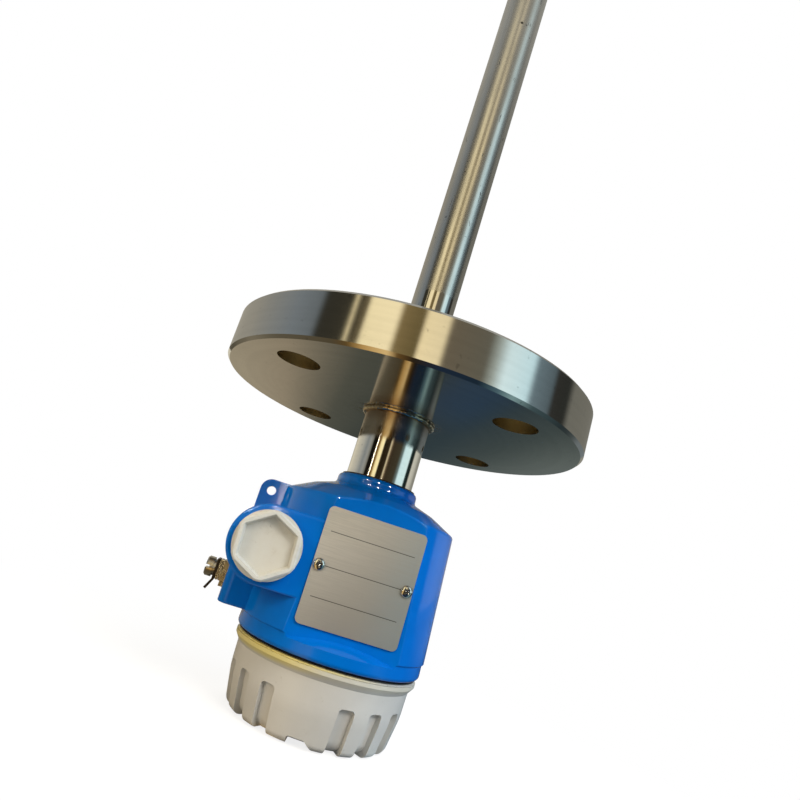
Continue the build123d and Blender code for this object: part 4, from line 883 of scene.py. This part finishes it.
class LEVELSWITCH_OT_stage(bpy.types.Operator):
    """Floor, studio surroundings, lights and the camera"""

    bl_idname = "level_switch.stage"
    bl_label = "Stage"

    def execute(self, context):
        sizes = context.scene.level_switch_sizes
        deselect()
        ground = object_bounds()[0][2]
        bpy.ops.mesh.primitive_grid_add(x_subdivisions=2, y_subdivisions=2, size=sizes.floor_size,
                                        location=(0, 0, ground - FLOOR_GAP))
        floor = bpy.context.active_object
        floor.name = "studio_floor"
        finish, tree, shader = new_finish("pale floor")
        shader.inputs["Base Color"].default_value = (0.28, 0.28, 0.28, 1)
        shader.inputs["Roughness"].default_value = 0.9
        shader.inputs["Specular IOR Level"].default_value = 0.1
        x, y = split(tree, place(tree))[:2]
        seen = put(tree, "ShaderNodeLightPath")
        shown = looked_at(tree, seen)
        glow = put(tree, "ShaderNodeEmission", {
            "Color": (1, 1, 1, 1), "Strength": sums(tree, "MULTIPLY", shown, 0.8)})
        near = put(tree, "ShaderNodeAddShader", {0: shader.outputs[0], 1: glow.outputs[0]})
        white = put(tree, "ShaderNodeEmission", {"Color": (1, 1, 1, 1), "Strength": 1.0})
        fade = ramp(tree, from_axis(tree, x, y), 0.07, 0.24)
        far = put(tree, "ShaderNodeMixShader", {
            0: sums(tree, "MULTIPLY", fade, shown), 1: near.outputs[0], 2: white.outputs[0]})
        navy = sums(tree, "MULTIPLY", ramp(tree, y, 0.38, 0.58, 1.0, 0.0),
                    ramp(tree, from_level(tree, x, 0.12), 0.01, 0.065, 1.0, 0.0))
        seen_floor = blended(
            tree, sums(tree, "MULTIPLY", navy, 0.25), toned(tree, x, FLOOR_TONES), paint(18, 62, 108))
        front = toned(tree, azimuth(tree, x, y), FRONT_TONES)
        seen_floor = blended(tree, ramp(tree, y, 0.0, 0.25, 1.0, 0.0), seen_floor, front)
        mirrored = put(tree, "ShaderNodeEmission", {"Color": seen_floor, "Strength": 1.4})
        total = put(tree, "ShaderNodeMixShader", {
            0: seen.outputs["Is Glossy Ray"], 1: far.outputs[0], 2: mirrored.outputs[0]})
        tree.links.new(total.outputs[0], tree.nodes["Material Output"].inputs["Surface"])
        floor.data.materials.append(finish)
        floor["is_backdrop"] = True

        scene = context.scene
        world = bpy.data.worlds.new("studio world")
        scene.world = world
        world.use_nodes = True
        tree = world.node_tree
        tree.nodes.clear()
        direction = put(tree, "ShaderNodeTexCoord").outputs["Generated"]
        x, y, z = split(tree, direction)
        side = ramp(tree, x, -0.8, 0.8)
        soft = blended(tree, side, paint(255, 234, 196), paint(200, 228, 250))
        up = ramp(tree, z, -0.35, 0.6, 0.16, 0.6)
        studio = put(tree, "ShaderNodeBackground", {"Color": soft, "Strength": up})
        white = put(tree, "ShaderNodeBackground", {"Color": (1, 1, 1, 1), "Strength": 1.0})
        around_axis = azimuth(tree, x, y)
        high_up = ramp(tree, z, 0.55, 0.9)
        seen_tones = blended(tree, ramp(tree, z, 0.2, 0.26), toned(tree, around_axis, LOW_TONES),
                             toned(tree, around_axis, STUDIO_TONES))
        seen_tones = blended(tree, high_up, seen_tones, paint(150, 150, 146))
        around = put(tree, "ShaderNodeBackground", {"Color": seen_tones, "Strength": 1.5})
        seen = put(tree, "ShaderNodeLightPath")
        shown = looked_at(tree, seen)
        plain = put(tree, "ShaderNodeMixShader", {
            0: seen.outputs["Is Glossy Ray"], 1: studio.outputs[0], 2: around.outputs[0]})
        mix = put(tree, "ShaderNodeMixShader", {0: shown, 1: plain.outputs[0], 2: white.outputs[0]})
        end = put(tree, "ShaderNodeOutputWorld")
        tree.links.new(mix.outputs[0], end.inputs["Surface"])

        middle = (0.0, 0.0, -0.08)
        lights = (
            ("key_light", (0.42, -0.72, 0.62), (0.0, 0.0, -0.09), 7.6, (0.45, 0.45), (255, 250, 242), False),
            ("side_light", (-0.75, -0.55, 0.2), middle, 2.9, (0.4, 0.5), (255, 232, 196), False),
            ("fill_light", (0.95, -0.2, 0.1), middle, 3.4, (0.5, 0.8), (196, 226, 255), False),
            ("back_light", (0.3, 0.9, 0.6), (0.0, 0.0, 0.05), 3.0, (0.7, 0.5), (255, 252, 246), False),
            ("strip_left", (-0.74, -0.60, -0.02), (0.0, 0.0, -0.05), 0.22, (0.012, 0.34), (255, 246, 222), True),
            ("strip_front", (-0.04, -0.95, -0.06), (0.0, 0.0, -0.06), 0.14, (0.010, 0.22), (255, 250, 238), True),
        )
        for name, where, to, power, size, colour, mirrored in lights:
            light = area_lamp(context, name, where, to, power, size)
            light.data.color = paint(*colour)
            light.visible_glossy = mirrored

        # Windows that only the housing's gloss shows
        glossy_pieces = bpy.data.collections.new("glossy housing")
        glossy_pieces.objects.link(NODES["housing"])
        windows = (
            ("window_left", (-0.60, -0.74, 0.40), 10.0, (0.10, 0.13)),
            ("window_middle", (-0.12, -0.93, 0.42), 9.5, (0.09, 0.13)),
            ("window_right", (0.42, -0.85, 0.41), 9.0, (0.09, 0.12)),
        )
        for name, where, power, size in windows:
            light = area_lamp(context, name, where, middle, power, size)
            light.visible_diffuse = False
            light.light_linking.receiver_collection = glossy_pieces

        lens = bpy.data.cameras.new("photo_camera")
        lens.sensor_width = 36.0
        lens.sensor_fit = "HORIZONTAL"
        lens.lens = FOCAL_PIXELS * lens.sensor_width / PICTURE_SIDE
        lens.shift_x = (PICTURE_SIDE / 2 - PICTURE_CENTRE[0]) / PICTURE_SIDE
        lens.shift_y = (PICTURE_CENTRE[1] - PICTURE_SIDE / 2) / PICTURE_SIDE
        lens.clip_start = 0.01
        camera = bpy.data.objects.new("photo_camera", lens)
        right = Vector((0.94147, -0.15774, 0.29791))
        down = Vector((0.32371, 0.17647, -0.92956))
        forward = Vector((0.09405, 0.97158, 0.2172))
        turn = Matrix((right, -down, -forward)).transposed().to_4x4()
        camera.matrix_world = Matrix.Translation(CAMERA_PLACE) @ turn
        context.collection.objects.link(camera)
        scene.camera = camera
        scene.view_settings.view_transform = "Standard"
        return {"FINISHED"}


class LEVELSWITCH_PT_panel(bpy.types.Panel):
    """Lists the operators and values of the level switch"""

    bl_label = "Level Switch"
    bl_idname = "LEVELSWITCH_PT_panel"
    bl_space_type = "VIEW_3D"
    bl_region_type = "UI"
    bl_category = "Level Switch"

    def draw(self, context):
        layout = self.layout
        for group in (context.scene.level_switch_colours, context.scene.level_switch_sizes):
            box = layout.box()
            for key in group.__annotations__:
                box.prop(group, key)
        for operator in OPERATORS:
            layout.operator(operator.bl_idname)


OPERATORS = (
    LEVELSWITCH_OT_probe_finish,
    LEVELSWITCH_OT_housing_finish,
    LEVELSWITCH_OT_cover_finish,
    LEVELSWITCH_OT_nameplate_finish,
    LEVELSWITCH_OT_entry_finish,
    LEVELSWITCH_OT_ground_finish,
    LEVELSWITCH_OT_electronics_finish,
    LEVELSWITCH_OT_neck_weld,
    LEVELSWITCH_OT_seal_lips,
    LEVELSWITCH_OT_cross_screws,
    LEVELSWITCH_OT_cover_thread,
    LEVELSWITCH_OT_stage,
)
CLASSES = (LevelSwitchColours, LevelSwitchSizes, *OPERATORS, LEVELSWITCH_PT_panel)


def register():
    for cls in CLASSES:
        bpy.utils.register_class(cls)
    bpy.types.Scene.level_switch_colours = bpy.props.PointerProperty(type=LevelSwitchColours)
    bpy.types.Scene.level_switch_sizes = bpy.props.PointerProperty(type=LevelSwitchSizes)


def unregister():
    del bpy.types.Scene.level_switch_sizes
    del bpy.types.Scene.level_switch_colours
    for cls in reversed(CLASSES):
        bpy.utils.unregister_class(cls)


def main():
    register()
    bpy.ops.level_switch.probe_finish()
    bpy.ops.level_switch.housing_finish()
    bpy.ops.level_switch.cover_finish()
    bpy.ops.level_switch.nameplate_finish()
    bpy.ops.level_switch.entry_finish()
    bpy.ops.level_switch.ground_finish()
    bpy.ops.level_switch.electronics_finish()
    bpy.ops.level_switch.neck_weld()
    bpy.ops.level_switch.seal_lips()
    bpy.ops.level_switch.cross_screws()
    bpy.ops.level_switch.cover_thread()
    bpy.ops.level_switch.stage()


if __name__ == "__main__":
    main()
